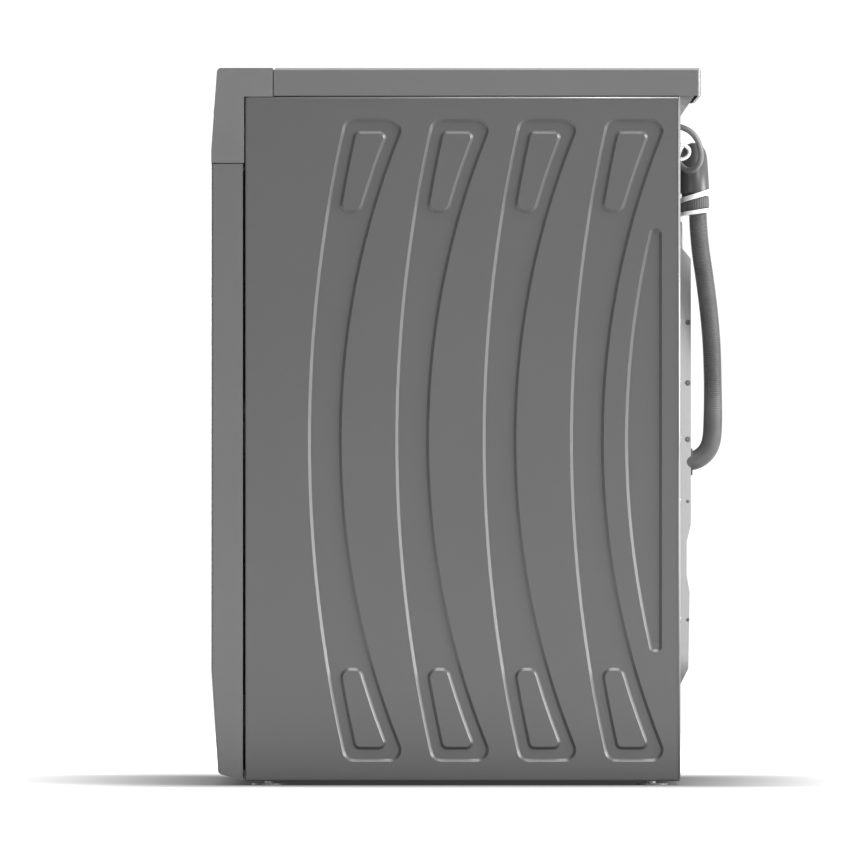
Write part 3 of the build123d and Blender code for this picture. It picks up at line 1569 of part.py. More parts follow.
# ======== White ties ========
# Two straps pass round both legs of the hose, a fluted cuff stands between them on the rising leg, and a
# clip holds the cord.
strap_low_z = 678
strap_high_z = 697
strap_height = 6
strap_thickness = 1.3
rising_leg = (198.5, 287.4)
falling_leg = drain_points[-1][:2]
cuff_radius = hose_radius + 1.6
cuff_clear = 1.2
rib_count = 26
with BuildPart() as hose_holder:
    for strap_z in (strap_low_z, strap_high_z):
        with BuildSketch(level(strap_z)):
            with Locations(rising_leg, falling_leg):
                Circle(hose_radius + 2 + cuff_clear + strap_thickness)
            make_hull()
            with Locations(rising_leg, falling_leg):
                Circle(hose_radius + 2 + cuff_clear, mode=Mode.SUBTRACT)
        extrude(amount=strap_height)
    with BuildSketch(level(strap_low_z)):
        with Locations(rising_leg):
            Circle(cuff_radius + 1)
            with PolarLocations(cuff_radius + 1, rib_count):
                Circle(0.8)
    extrude(amount=strap_high_z - strap_low_z + 2)
    with BuildSketch(level(strap_low_z - 1)):
        with Locations(rising_leg):
            Circle(hose_radius + cuff_clear)
        with Locations(falling_leg):
            Circle(hose_radius + 2 + cuff_clear)
        leg_gap = Vector(*rising_leg) - Vector(*falling_leg)
        middle = Vector(*falling_leg) + leg_gap * 0.5
        with Locations((middle.X, middle.Y)):
            Rectangle(78, 25.5, rotation=degrees(atan2(leg_gap.Y, leg_gap.X)))
    extrude(amount=strap_high_z, mode=Mode.SUBTRACT)
hose_holder.part.label = "hose_holder"
export_step(hose_holder.part, "parts/hose_holder.step")
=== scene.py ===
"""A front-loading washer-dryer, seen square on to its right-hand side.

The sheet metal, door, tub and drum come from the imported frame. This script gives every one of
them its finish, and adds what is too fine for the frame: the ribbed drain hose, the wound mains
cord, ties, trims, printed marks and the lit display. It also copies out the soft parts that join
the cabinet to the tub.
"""

import json
import math

import bmesh
import bpy
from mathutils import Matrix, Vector


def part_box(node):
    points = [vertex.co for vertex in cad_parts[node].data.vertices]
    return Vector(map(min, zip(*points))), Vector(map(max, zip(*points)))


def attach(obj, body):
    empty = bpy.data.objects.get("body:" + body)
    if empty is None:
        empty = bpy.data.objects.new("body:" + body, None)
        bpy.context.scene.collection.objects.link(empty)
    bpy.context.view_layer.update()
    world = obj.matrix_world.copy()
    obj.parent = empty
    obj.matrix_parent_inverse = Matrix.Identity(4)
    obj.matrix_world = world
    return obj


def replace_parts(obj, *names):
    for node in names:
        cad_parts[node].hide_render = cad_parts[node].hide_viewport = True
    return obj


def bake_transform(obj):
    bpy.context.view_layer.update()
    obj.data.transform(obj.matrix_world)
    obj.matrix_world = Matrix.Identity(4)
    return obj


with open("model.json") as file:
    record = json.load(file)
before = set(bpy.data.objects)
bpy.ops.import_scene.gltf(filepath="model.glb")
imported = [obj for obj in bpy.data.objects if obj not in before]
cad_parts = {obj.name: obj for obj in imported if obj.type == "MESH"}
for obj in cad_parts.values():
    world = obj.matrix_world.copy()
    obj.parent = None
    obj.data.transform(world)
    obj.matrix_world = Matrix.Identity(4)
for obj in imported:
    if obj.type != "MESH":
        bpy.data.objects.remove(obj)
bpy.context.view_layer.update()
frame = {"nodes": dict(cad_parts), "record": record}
nodes = frame["nodes"]

MM = 0.001
CABINET = "cabinet"
side_low, side_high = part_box("right_side_panel")
drum_low, drum_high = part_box("drum_shell")
drum_z = (drum_low.z + drum_high.z) / 2
worktop_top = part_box("worktop")[1].z
front_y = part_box("control_fascia")[0].y
ring_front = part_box("door_ring")[0].y


# ======== Camera ========

CAMERA_REACH = 25.0
VIEW_WIDTH = 1.007
VIEW_CENTRE = Vector((0.0, -0.0367, 0.4269))


def place_camera():
    """A long lens, level, square to the right-hand side."""
    data = bpy.data.cameras.new("side_camera")
    data.sensor_width = 36.0
    data.lens = data.sensor_width * CAMERA_REACH / VIEW_WIDTH
    data.clip_start = 0.1
    data.clip_end = 200.0
    camera = bpy.data.objects.new("side_camera", data)
    camera.location = VIEW_CENTRE + Vector((side_high.x + CAMERA_REACH, 0, 0))
    camera.rotation_euler = (math.radians(90), 0, math.radians(90))
    bpy.context.scene.collection.objects.link(camera)
    bpy.context.scene.camera = camera


place_camera()


# ======== Making pieces ========

CORD_RADIUS = 3.5 * MM


def add_piece(name, data, body=CABINET):
    """Puts a mesh or curve in the scene as a piece that moves with one body."""
    piece = bpy.data.objects.new(name, data)
    bpy.context.scene.collection.objects.link(piece)
    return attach(piece, body)


def mesh_piece(name, built, body=CABINET, smooth=True):
    """Turns a bmesh into a piece."""
    bmesh.ops.recalc_face_normals(built, faces=built.faces)
    mesh = bpy.data.meshes.new(name)
    built.to_mesh(mesh)
    built.free()
    for face in mesh.polygons:
        face.use_smooth = smooth
    return add_piece(name, mesh, body)


def nurbs_data(name, points, resolution=12):
    """A smooth open line that repeats the route's points."""
    data = bpy.data.curves.new(name, "CURVE")
    data.dimensions = "3D"
    data.resolution_u = resolution
    spline = data.splines.new("NURBS")
    spline.points.add(len(points) - 1)
    for spot, point in zip(spline.points, points):
        spot.co = (*point, 1.0)
        spot.radius = CORD_RADIUS
    spline.order_u = 3
    spline.use_endpoint_u = True
    return data


def read_line(name, points, resolution):
    """The points that a smooth route passes through."""
    data = nurbs_data(name, points, resolution)
    guide = bpy.data.objects.new(name, data)
    bpy.context.scene.collection.objects.link(guide)
    bpy.context.view_layer.update()
    mesh = bpy.data.meshes.new_from_object(guide)
    line = [vertex.co.copy() for vertex in mesh.vertices]
    bpy.data.objects.remove(guide)
    bpy.data.meshes.remove(mesh)
    return line


def respace(line, step):
    """The same line with points a fixed step apart."""
    spaced = [line[0].copy()]
    left = step
    for start, end in zip(line, line[1:]):
        run = (end - start).length
        while run >= left and run > 0:
            start = start.lerp(end, left / run)
            spaced.append(start.copy())
            run = (end - start).length
            left = step
        left -= run
    return spaced


def sweep_tube(line, radius_at, sides):
    """A closed tube along a line, with a radius that changes along it."""
    built = bmesh.new()
    across = Vector((1, 0, 0))
    ahead = (line[1] - line[0]).normalized()
    across = (across - ahead * across.dot(ahead)).normalized()
    rings = []
    travelled = 0.0
    for index, point in enumerate(line):
        before = line[max(index - 1, 0)]
        after = line[min(index + 1, len(line) - 1)]
        ahead = (after - before).normalized()
        across = (across - ahead * across.dot(ahead)).normalized()
        upright = ahead.cross(across)
        if index:
            travelled += (point - line[index - 1]).length
        radius = radius_at(travelled)
        ring = []
        for side in range(sides):
            turn = math.tau * side / sides
            spot = point + (across * math.cos(turn) + upright * math.sin(turn)) * radius
            ring.append(built.verts.new(spot))
        rings.append(ring)
    for low, high in zip(rings, rings[1:]):
        for side in range(sides):
            beside = (side + 1) % sides
            built.faces.new((low[side], low[beside], high[beside], high[side]))
    built.faces.new(rings[0])
    built.faces.new(rings[-1])
    return built


def lathe(built, profile, origin, axis, sides=96):
    """Turns a closed profile of (radius, height) pairs round an axis."""
    axis = Vector(axis).normalized()
    across = axis.orthogonal().normalized()
    upright = axis.cross(across)
    rings = []
    for side in range(sides):
        turn = math.tau * side / sides
        out = across * math.cos(turn) + upright * math.sin(turn)
        rings.append([built.verts.new(Vector(origin) + out * r + axis * h) for r, h in profile])
    for side in range(sides):
        here = rings[side]
        there = rings[(side + 1) % sides]
        for low in range(len(profile)):
            high = (low + 1) % len(profile)
            built.faces.new((here[low], here[high], there[high], there[low]))


# ======== Drain hose ========

HOSE_RADIUS = 11.25 * MM
HOSE_VALLEY = 9.8 * MM
HOSE_SLIM = 10.7 * MM
RIB_PITCH = 2.6 * MM
STEPS_PER_RIB = 4
HOSE_SIDES = 28
RIBS_FADE_FROM = 0.075
RIBS_FADE_TO = 0.125
GUIDE_FROM = 0.345
GUIDE_TO = 0.47

drain_route = [
    (0.150, 0.266, 0.383),
    (0.150, 0.2825, 0.383),
    (0.150, 0.297, 0.3915),
    (0.1505, 0.305, 0.406),
    (0.152, 0.3065, 0.432),
    (0.157, 0.3063, 0.478),
    (0.167, 0.3045, 0.532),
    (0.181, 0.298, 0.590),
    (0.196, 0.2885, 0.650),
    (0.200, 0.2868, 0.714),
    (0.165, 0.285, 0.749),
    (0.115, 0.282, 0.749),
    (0.080, 0.2805, 0.714),
    (0.080, 0.2805, 0.679),
]


def hose_radius_at(travelled):
    """Ribs all along, fading out into a smooth lower cuff, and a slim run inside the guide."""
    if GUIDE_FROM < travelled < GUIDE_TO:
        return HOSE_SLIM
    ribbed = min(max((travelled - RIBS_FADE_FROM) / (RIBS_FADE_TO - RIBS_FADE_FROM), 0.0), 1.0)
    wave = 0.5 + 0.5 * math.cos(math.tau * travelled / RIB_PITCH)
    return HOSE_RADIUS - (HOSE_RADIUS - HOSE_VALLEY) * ribbed * (1 - wave)


hose_line = read_line("drain_route", drain_route, 24)
hose_steps = respace(hose_line, RIB_PITCH / STEPS_PER_RIB)
hose = mesh_piece("drain_hose_ribbed", sweep_tube(hose_steps, hose_radius_at, HOSE_SIDES))
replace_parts(hose, "drain_hose")


# ======== Mains cord ========

COIL_CENTRE = Vector((0.112, 0.251, 0.742))
COIL_OUTER = 45.5 * MM
COIL_INNER = 38.5 * MM
LAYER_SHIFT = 3.5 * MM
TURN_POINTS = 12
TURNS = 4.5

cord_route = [
    (0.254, 0.2542, 0.783),
    (0.2545, 0.272, 0.781),
    (0.253, 0.288, 0.766),
    (0.250, 0.293, 0.740),
    (0.231, 0.2775, 0.7257),
    (0.212, 0.262, 0.740),
    (0.205, 0.254, 0.763),
    (0.184, 0.251, 0.781),
    (0.146, 0.2505, 0.7885),
]
plug_entry = [
    (0.124, 0.2535, 0.6965),
    (0.135, 0.252, 0.6965),
    (0.147, 0.251, 0.6965),
    (0.160, 0.251, 0.6965),
]


def eased(value, start, end):
    """0 before start, 1 after end, and a straight ramp between."""
    return min(max((value - start) / (end - start), 0.0), 1.0)


def coil_point(turn):
    """One point of the wound cord: out, in, across to the other layer, and out again."""
    inward = eased(turn, 0.9, 1.15) - eased(turn, 2.9, 3.15)
    forward = eased(turn, 1.9, 2.15)
    radius = (COIL_OUTER + (COIL_INNER - COIL_OUTER) * inward) / math.cos(math.pi / TURN_POINTS)
    lay = eased(turn, 0.0, 0.15) * (2 * forward - 1)
    angle = math.tau * turn
    across = Vector((-math.sin(angle), 0, math.cos(angle))) * radius
    return COIL_CENTRE + across + Vector((0, LAYER_SHIFT * lay, 0))


for step in range(round(TURNS * TURN_POINTS) + 1):
    cord_route.append(tuple(coil_point(step / TURN_POINTS)))
cord_route += plug_entry

cord_data = nurbs_data("mains_cord", cord_route)
cord_data.bevel_depth = 1.0
cord_data.bevel_resolution = 5
cord_data.use_fill_caps = True
cord = add_piece("mains_cord", cord_data)
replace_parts(cord, "power_cord", "cord_coil", "cord_tail")


# ======== Ties, straps, cuff and tabs ===


TIE_SIDES = 48


def strap_ring(name, centre, out, up, half_out, half_up, width, thickness):
    """A flat white band bent to an oval loop round a bundle."""
    built = bmesh.new()
    out = Vector(out).normalized()
    up = Vector(up).normalized()
    along = out.cross(up)
    rings = []
    for side in range(TIE_SIDES):
        turn = math.tau * side / TIE_SIDES
        ring = []
        for grow, shift in ((0, -0.5), (thickness, -0.42), (thickness, 0.42), (0, 0.5)):
            reach_out = (half_out + grow) * math.cos(turn)
            reach_up = (half_up + grow) * math.sin(turn)
            spot = out * reach_out + up * reach_up
            ring.append(built.verts.new(Vector(centre) + spot + along * (shift * width)))
        rings.append(ring)
    for side in range(TIE_SIDES):
        here = rings[side]
        there = rings[(side + 1) % TIE_SIDES]
        for low in range(4):
            high = (low + 1) % 4
            built.faces.new((here[low], here[high], there[high], there[low]))
    piece = mesh_piece(name, built)
    return piece


RISING_LEG = (198.5 * MM, 287.4 * MM)
FALLING_LEG = (80.0 * MM, 280.5 * MM)
STRAP_REACH = 15.6 * MM
STRAP_HALF_THICK = 1.1 * MM
STRAP_STEPS = 12
STRAP_EDGE_STEPS = 10
STRAP_SLOPE = 0.3
UPPER_STRAP_Z = 0.7
LOWER_STRAP_Z = 0.6805


def bundle_strap(name, height, tall, slope):
    """A soft white strap round both legs of the hose, lower against the machine."""
    built = bmesh.new()
    legs = (Vector(RISING_LEG), Vector(FALLING_LEG))
    ahead = (legs[0] - legs[1]).normalized()
    aside = Vector((-ahead.y, ahead.x))
    stations = []
    for leg, start in ((legs[0], -90), (legs[1], 90)):
        for step in range(STRAP_STEPS + 1):
            turn = math.radians(start + 180 * step / STRAP_STEPS)
            out = ahead * math.cos(turn) + aside * math.sin(turn)
            stations.append((leg, out))
    profile = []
    for step in range(STRAP_EDGE_STEPS):
        turn = math.tau * step / STRAP_EDGE_STEPS
        reach = STRAP_REACH + STRAP_HALF_THICK * math.cos(turn)
        profile.append((reach, tall / 2 * math.sin(turn)))
    rings = []
    for leg, out in stations:
        ring = []
        for reach, rise in profile:
            spot = leg + out * reach
            lean = slope * (spot.y - RISING_LEG[1])
            ring.append(built.verts.new((spot.x, spot.y, height + rise + lean)))
        rings.append(ring)
    for index, here in enumerate(rings):
        there = rings[(index + 1) % len(rings)]
        for low in range(len(profile)):
            high = (low + 1) % len(profile)
            built.faces.new((here[low], here[high], there[high], there[low]))
    strap = mesh_piece(name, built)
    return strap


CUFF_RADIUS = 13.0
CUFF_FLUTES = 30
STEPS_PER_FLUTE = 4
FLUTE_DEPTH = 0.55
CUFF_OUTLINE = [(681, -0.8), (682.2, 0), (690, 0.5), (697.8, 0), (699, -0.8)]


def fluted_cuff():
    """The fluted rubber cuff that the straps hold on the rising leg."""
    built = bmesh.new()
    rings = []
    for rise, swell in CUFF_OUTLINE:
        ring = []
        for step in range(CUFF_FLUTES * STEPS_PER_FLUTE):
            turn = math.tau * step / (CUFF_FLUTES * STEPS_PER_FLUTE)
            flute = FLUTE_DEPTH * math.cos(CUFF_FLUTES * turn)
            reach = (CUFF_RADIUS + swell + flute) * MM
            spot = Vector(RISING_LEG) + Vector((math.cos(turn), math.sin(turn))) * reach
            ring.append(built.verts.new((spot.x, spot.y, rise * MM)))
        rings.append(ring)
    for low, high in zip(rings, rings[1:]):
        for step in range(len(low)):
            beside = (step + 1) % len(low)
            built.faces.new((low[step], low[beside], high[beside], high[step]))
    built.faces.new(rings[0])
    built.faces.new(rings[-1])
    cuff = mesh_piece("fluted_cuff", built)
    return cuff


upper_strap = bundle_strap("upper_strap", UPPER_STRAP_Z, 6.5 * MM, STRAP_SLOPE)
lower_strap = bundle_strap("lower_strap", LOWER_STRAP_Z, 5 * MM, STRAP_SLOPE / 2)
cuff = fluted_cuff()
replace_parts(upper_strap, "hose_holder")

COVER_EDGE_X = 166.2 * MM
COVER_EDGE_Y = 276.6 * MM
COVER_LEAN = (0.95, 0.31)
LARGE_TAB = 3.2
SMALL_TAB = 1.8
COVER_TABS = {549: LARGE_TAB, 477: LARGE_TAB, 410: LARGE_TAB, 336: SMALL_TAB, 195: SMALL_TAB}
tabs = bmesh.new()
for side_x in (-1, 1):
    for rise, size in COVER_TABS.items():
        dome = [(0.02, -1.0), (size, -1.0), (size, 0.1), (size * 0.7, 0.55), (0.02, 0.7)]
        profile = [(r * MM, h * MM) for r, h in dome]
        spot = (side_x * COVER_EDGE_X, COVER_EDGE_Y, rise * MM)
        lathe(tabs, profile, spot, (side_x * COVER_LEAN[0], COVER_LEAN[1], 0), 20)
cover_tabs = mesh_piece("cover_tabs", tabs)

coil_tie = strap_ring(
    "coil_tie",
    centre=COIL_CENTRE + Vector((-42.0 * MM, 0, 0)),
    out=(1, 0, 0),
    up=(0, 1, 0),
    half_out=7.6 * MM,
    half_up=7.6 * MM,
    width=5 * MM,
    thickness=0.9 * MM,
)
cord_tie = strap_ring(
    "cord_tie",
    centre=(0.208, 0.2665, 0.7515),
    out=(0, 1, 0.1),
    up=(0.2, -0.1, 1),
    half_out=9.5 * MM,
    half_up=7 * MM,
    width=6 * MM,
    thickness=3.6 * MM,
)


# ======== Soft parts between the cabinet and the tub ========

ALONG_Y = 1
ALONG_Z = 2
TUB_MIDDLE_Z = 0.4
node_slots = {part["node"]: part["material_slot"] for part in frame["record"]["subparts"]}


def spanning_piece(name, node, axis, tub_is_high, lowest=0.0, highest=1.0):
    """A copy of a soft part that joins the cabinet to the tub, or of its stretch between two
    heights.
    """
    built = bmesh.new()
    built.from_mesh(nodes[node].data)
    built.transform(nodes[node].matrix_world)
    outside = [spot for spot in built.verts if not lowest <= spot.co.z <= highest]
    bmesh.ops.delete(built, geom=outside, context="VERTS")
    places = [spot.co[axis] for spot in built.verts]
    mesh = bpy.data.meshes.new(name)
    built.to_mesh(mesh)
    built.free()
    piece = bpy.data.objects.new(name, mesh)
    bpy.context.scene.collection.objects.link(piece)
    start = Vector((0, 0, 0))
    end = Vector((0, 0, 0))
    start[axis] = min(places) if tub_is_high else max(places)
    end[axis] = max(places) if tub_is_high else min(places)
    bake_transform(piece)
    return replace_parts(piece, node)


flexing_gasket = spanning_piece("flexing_gasket", "door_gasket", ALONG_Y, True)
flexing_springs = spanning_piece("flexing_springs", "suspension_springs", ALONG_Z, False)
sump_bellows = spanning_piece(
    "sump_bellows", "tub_bellows", ALONG_Z, True, highest=TUB_MIDDLE_Z
)
dispenser_bellows = spanning_piece(
    "dispenser_bellows", "tub_bellows", ALONG_Z, False, lowest=TUB_MIDDLE_Z
)


# ======== Folded edges of the side panels ========

HEM_RADIUS = 2.4 * MM
HEM_PROUD = 0.5 * MM
HEM_STEPS = 6


def add_hem(built, outward, start, end, corner_x):
    """A rolled edge along one rim of a side panel, from start to end."""
    start, end = Vector(start), Vector(end)
    side = Vector((1 if corner_x > 0 else -1, 0, 0))
    outward = Vector(outward)
    rows = []
    for spot in (start, end):
        row = []
        for step in range(HEM_STEPS + 1):
            turn = math.radians(90 * step / HEM_STEPS)
            inset = side * (HEM_RADIUS * (math.cos(turn) - 1))
            drop = outward * (HEM_RADIUS * (math.sin(turn) - 1))
            row.append(built.verts.new(spot + inset + drop + (side + outward) * HEM_PROUD))
        row.append(built.verts.new(spot - (side + outward) * HEM_RADIUS))
        rows.append(row)
    for low in range(len(rows[0])):
        high = (low + 1) % len(rows[0])
        built.faces.new((rows[0][low], rows[0][high], rows[1][high], rows[1][low]))
    built.faces.new(rows[0])
    built.faces.new(rows[1])


hems = bmesh.new()
for side_x in (side_high.x, -side_high.x):
    foot = (side_x, side_high.y, side_low.z + HEM_RADIUS)
    rear_top = (side_x, side_high.y, side_high.z)
    front_top = (side_x, side_low.y + HEM_RADIUS, side_high.z)
    add_hem(hems, (0, 1, 0), foot, rear_top, side_x)
    add_hem(hems, (0, 0, 1), front_top, rear_top, side_x)
# worn in a paler paint than the panels, as a painted highlight along the folds
side_hems = mesh_piece("side_hems", hems)


# ======== Printed marks, display and trims ========

FACE_SETBACK = 7 * MM
FACE_UPRIGHT_Z = 0.753
FACE_MIDDLE_Z = 0.798
face_angle = math.atan2(FACE_SETBACK, worktop_top - FACE_UPRIGHT_Z)
face_up = Vector((0, math.sin(face_angle), math.cos(face_angle)))
face_out = Vector((0, -math.cos(face_angle), math.sin(face_angle)))
face_middle_y = front_y + (FACE_MIDDLE_Z - FACE_UPRIGHT_Z) * math.tan(face_angle)
face_middle = Vector((0, face_middle_y, FACE_MIDDLE_Z))
DISPLAY_X = 0.150
MARK_DEPTH = 0.12 * MM
MARK_ROOT = 0.1 * MM
RING_OVERLAP = 1.04


def add_bar(built, x, rise, wide, tall, turn=0.0, lift=0.0):
    """A thin raised bar on the sloping control face."""
    corners = []
    for out in (lift - MARK_ROOT, lift + MARK_DEPTH):
        for side, over in ((-1, -1), (1, -1), (1, 1), (-1, 1)):
            right = side * wide / 2
            up = over * tall / 2
            across = right * math.cos(turn) - up * math.sin(turn)
            along = right * math.sin(turn) + up * math.cos(turn)
            spot = face_middle + Vector((x + across, 0, 0)) + face_up * (rise + along)
            corners.append(built.verts.new(spot + face_out * out))
    for side in range(4):
        beside = (side + 1) % 4
        built.faces.new((corners[side], corners[beside], corners[4 + beside], corners[4 + side]))
    built.faces.new(corners[:4])
    built.faces.new(corners[4:])


def add_ring(built, x, rise, radius, wide, start=0.0, end=math.tau, pieces=28):
    """A printed ring or arc, made of short bars."""
    step = (end - start) / pieces
    for index in range(pieces):
        turn = start + step * (index + 0.5)
        length = 2 * radius * math.sin(step / 2) * RING_OVERLAP
        right = x + radius * math.sin(turn)
        add_bar(built, right, rise + radius * math.cos(turn), length, wide, -turn)


DIAL_MARK_RADIUS = 36 * MM
PROGRAM_COUNT = 14
BUTTON_DROP = 34 * MM
BUTTON_PITCH = 40 * MM
ICON_RISE = 11.5 * MM
POWER_X = 0.250
ARROW_X = DISPLAY_X + BUTTON_PITCH + 13 * MM
ARROW_LEAN = 0.7
marks = bmesh.new()
for program in range(PROGRAM_COUNT):
    turn = math.tau * program / PROGRAM_COUNT
    x = DIAL_MARK_RADIUS * math.sin(turn)
    rise = DIAL_MARK_RADIUS * math.cos(turn)
    add_bar(marks, x, rise, 0.9 * MM, (5.0 if program == 0 else 3.0) * MM, -turn)
    side = 1 if x > 0 else -1
    if 0 < program != PROGRAM_COUNT // 2:
        for line in range(1 + program % 2):
            length = (16 - 5 * line + 3 * ((program * 5) % 3)) * MM
            start = 6 * MM + length / 2
            add_bar(marks, x + side * start, rise - line * 2.2 * MM, length, 0.7 * MM)
for index in range(3):
    x = DISPLAY_X + (index - 1) * BUTTON_PITCH
    add_bar(marks, x, -BUTTON_DROP + ICON_RISE - 1.5 * MM, 9 * MM, 0.7 * MM)
add_bar(marks, ARROW_X, -BUTTON_DROP + 1.2 * MM, 0.8 * MM, 4.8 * MM, ARROW_LEAN)
add_bar(marks, ARROW_X, -BUTTON_DROP - 1.8 * MM, 0.8 * MM, 4.8 * MM, -ARROW_LEAN)
add_ring(marks, POWER_X, 14 * MM, 3.4 * MM, 0.8 * MM, 0.6, math.tau - 0.6)
add_bar(marks, POWER_X, 16.4 * MM, 0.8 * MM, 4.0 * MM)
control_marks = mesh_piece("control_marks", marks, smooth=False)

DIGIT_TALL = 15 * MM
DIGIT_WIDE = 8 * MM
SEGMENT = 1.6 * MM
DIGIT_LIFT = -0.34 * MM
SEGMENTS = {"1": "bc", "2": "abged", "5": "afgcd", "0": "abcdef", "4": "fgbc"}
SEGMENT_PLACES = {
    "a": (0, 1, True),
    "g": (0, 0, True),
    "d": (0, -1, True),
    "b": (1, 0.5, False),
    "c": (1, -0.5, False),
    "f": (-1, 0.5, False),
    "e": (-1, -0.5, False),
}
digits = bmesh.new()
for place, digit in zip((-22, -9, 8, 21), "1245"):
    for segment in SEGMENTS[digit]:
        side, over, flat = SEGMENT_PLACES[segment]
        size = (DIGIT_WIDE - SEGMENT, SEGMENT) if flat else (SEGMENT, DIGIT_TALL / 2 - SEGMENT)
        x = DISPLAY_X + place * MM + side * DIGIT_WIDE / 2
        add_bar(digits, x, over * DIGIT_TALL / 2, *size, lift=DIGIT_LIFT)
for rise in (-3.5, 3.5):
    add_bar(digits, DISPLAY_X - 0.5 * MM, rise * MM, SEGMENT, SEGMENT, lift=DIGIT_LIFT)
for index in range(5):
    x = DISPLAY_X + (46 + 2.6 * index) * MM
    add_bar(digits, x, 0, 1.4 * MM, (4 + 2 * index) * MM, lift=DIGIT_LIFT)
for left, rise, length in ((52, 0, 12), (54, 4.5, 8), (54, -4.5, 8)):
    add_bar(digits, DISPLAY_X - left * MM, rise * MM, length * MM, 0.9 * MM, lift=DIGIT_LIFT)
display_digits = mesh_piece("display_digits", digits, smooth=False)

WINDOW_RADIUS = 0.152
TRIM_SUNK = 1.6
TRIM_OUTLINE = [(0.4, 0.0), (0.4, 1.2), (1.4, 2.0), (5.0, 1.6), (6.0, 0.4), (5.4, 0.0)]
trim = bmesh.new()
trim_profile = [(WINDOW_RADIUS + r * MM, (h - TRIM_SUNK) * MM) for r, h in TRIM_OUTLINE]
lathe(trim, trim_profile, (0, ring_front + 0.05 * MM, drum_z), (0, -1, 0), 160)
door_trim = mesh_piece("door_trim", trim, "door")

DIAL_GRIP_RADIUS = 27 * MM
KNURLS = 72
KNURL_WIDE = 1.8 * MM
KNURL_OUTLINE = [(-0.4, -0.5), (0.35, 0), (-0.4, 0.5)]
grip = bmesh.new()
for index in range(KNURLS):
    turn = math.tau * index / KNURLS
    out = Vector((math.sin(turn), 0, 0)) + face_up * math.cos(turn)
    along = Vector((math.cos(turn), 0, 0)) - face_up * math.sin(turn)
    corners = []
    for height in (-5.5 * MM, 0.2 * MM):
        for reach, side in KNURL_OUTLINE:
            spot = face_middle + face_out * height + out * (DIAL_GRIP_RADIUS + reach * MM)
            corners.append(grip.verts.new(spot + along * (side * KNURL_WIDE)))
    for side in range(3):
        beside = (side + 1) % 3
        grip.faces.new((corners[side], corners[beside], corners[3 + beside], corners[3 + side]))
    grip.faces.new(corners[:3])
    grip.faces.new(corners[3:])
dial_grip = mesh_piece("dial_grip", grip, "dial", smooth=False)


# ======== Finishes ========


class Wire:
    """One value in a finish, which adds its maths when Python arithmetic is done on it."""

    def __init__(self, finish, socket):
        self.finish = finish
        self.socket = socket

    def _maths(self, operation, *values):
        return self.finish.node("ShaderNodeMath", {"operation": operation}, dict(enumerate(values)))

    def __add__(self, other):
        return self._maths("ADD", self, other)

    def __mul__(self, other):
        return self._maths("MULTIPLY", self, other)

    def __sub__(self, other):
        return self._maths("SUBTRACT", self, other)

    def __rsub__(self, other):
        return self._maths("SUBTRACT", other, self)

    def __pow__(self, other):
        return self._maths("POWER", self, other)

    __radd__ = __add__
    __rmul__ = __mul__

    def size(self):
        return self._maths("ABSOLUTE", self)

    def at_least(self, other):
        return self._maths("MAXIMUM", self, other)

    def wave(self):
        return self._maths("SINE", self)

    def angle_to(self, other):
        return self._maths("ARCTAN2", self, other)

    def between(self, low, high):
        """0 at low, 1 at high, smooth and held at both ends."""
        ends = {"Value": self, "From Min": low, "From Max": high}
        return self.finish.node("ShaderNodeMapRange", {"interpolation_type": "SMOOTHSTEP"}, ends)


class Nodes:
    """Adds nodes to one node tree."""

    def __init__(self, tree):
        self.tree = tree

    def feed(self, socket, value):
        if isinstance(value, Wire):
            self.tree.links.new(value.socket, socket)
        elif isinstance(value, tuple) and len(value) == 3 and len(socket.default_value) == 4:
            socket.default_value = (*value, 1.0)
        else:
            socket.default_value = value

    def node(self, kind, settings=None, sockets=None, output=0):
        """Adds one node: its settings first, then its sockets' values or links."""
        made = self.tree.nodes.new(kind)
        for name, value in (settings or {}).items():
            setattr(made, name, value)
        for name, value in (sockets or {}).items():
            self.feed(made.inputs[name], value)
        return Wire(self, made.outputs[output])

    def axis(self, letter, source="Object"):
        """One coordinate of where a point is on the machine at rest."""
        where = self.node("ShaderNodeTexCoord", output=source)
        return self.node("ShaderNodeSeparateXYZ", sockets={0: where}, output=letter)


class Finish(Nodes):
    """A material built round one Principled shader."""

    made = {}

    def __init__(self, name, colour, roughness, metallic=0.0, **constants):
        self.material = bpy.data.materials.new(name)
        self.material.use_nodes = True
        super().__init__(self.material.node_tree)
        self.shader = self.tree.nodes["Principled BSDF"]
        self.set("Base Color", colour_of(colour))
        self.set("Roughness", roughness)
        self.set("Metallic", metallic)
        for socket, value in constants.items():
            self.set(socket.replace("_", " "), value)
        Finish.made[name] = self

    def set(self, socket, value):
        self.feed(self.shader.inputs[socket], value)

    def place(self, stretch=(1, 1, 1)):
        """Where a point is on the machine at rest, stretched along the axes."""
        where = self.node("ShaderNodeTexCoord", output="Object")
        return self.node("ShaderNodeVectorMath", {"operation": "MULTIPLY"}, {0: where, 1: stretch})

    def noise(self, scale, detail=2.0, stretch=(1, 1, 1)):
        sockets = {"Vector": self.place(stretch), "Scale": scale, "Detail": detail}
        return self.node("ShaderNodeTexNoise", sockets=sockets)

    def cells(self, scale, output="Distance"):
        sockets = {"Vector": self.place(), "Scale": scale}
        return self.node("ShaderNodeTexVoronoi", sockets=sockets, output=output)

    def mix(self, amount, first, second):
        """A colour between two colours."""
        sockets = {0: amount, 6: colour_of(first), 7: colour_of(second)}
        return self.node("ShaderNodeMix", {"data_type": "RGBA"}, sockets, output=2)

    def bump(self, height, distance, strength=1.0):
        sockets = {"Height": height, "Distance": distance, "Strength": strength}
        self.set("Normal", self.node("ShaderNodeBump", sockets=sockets))


def colour_of(value):
    """A grey as a colour, and a colour or a link as it is."""
    return (value, value, value) if isinstance(value, (int, float)) else value


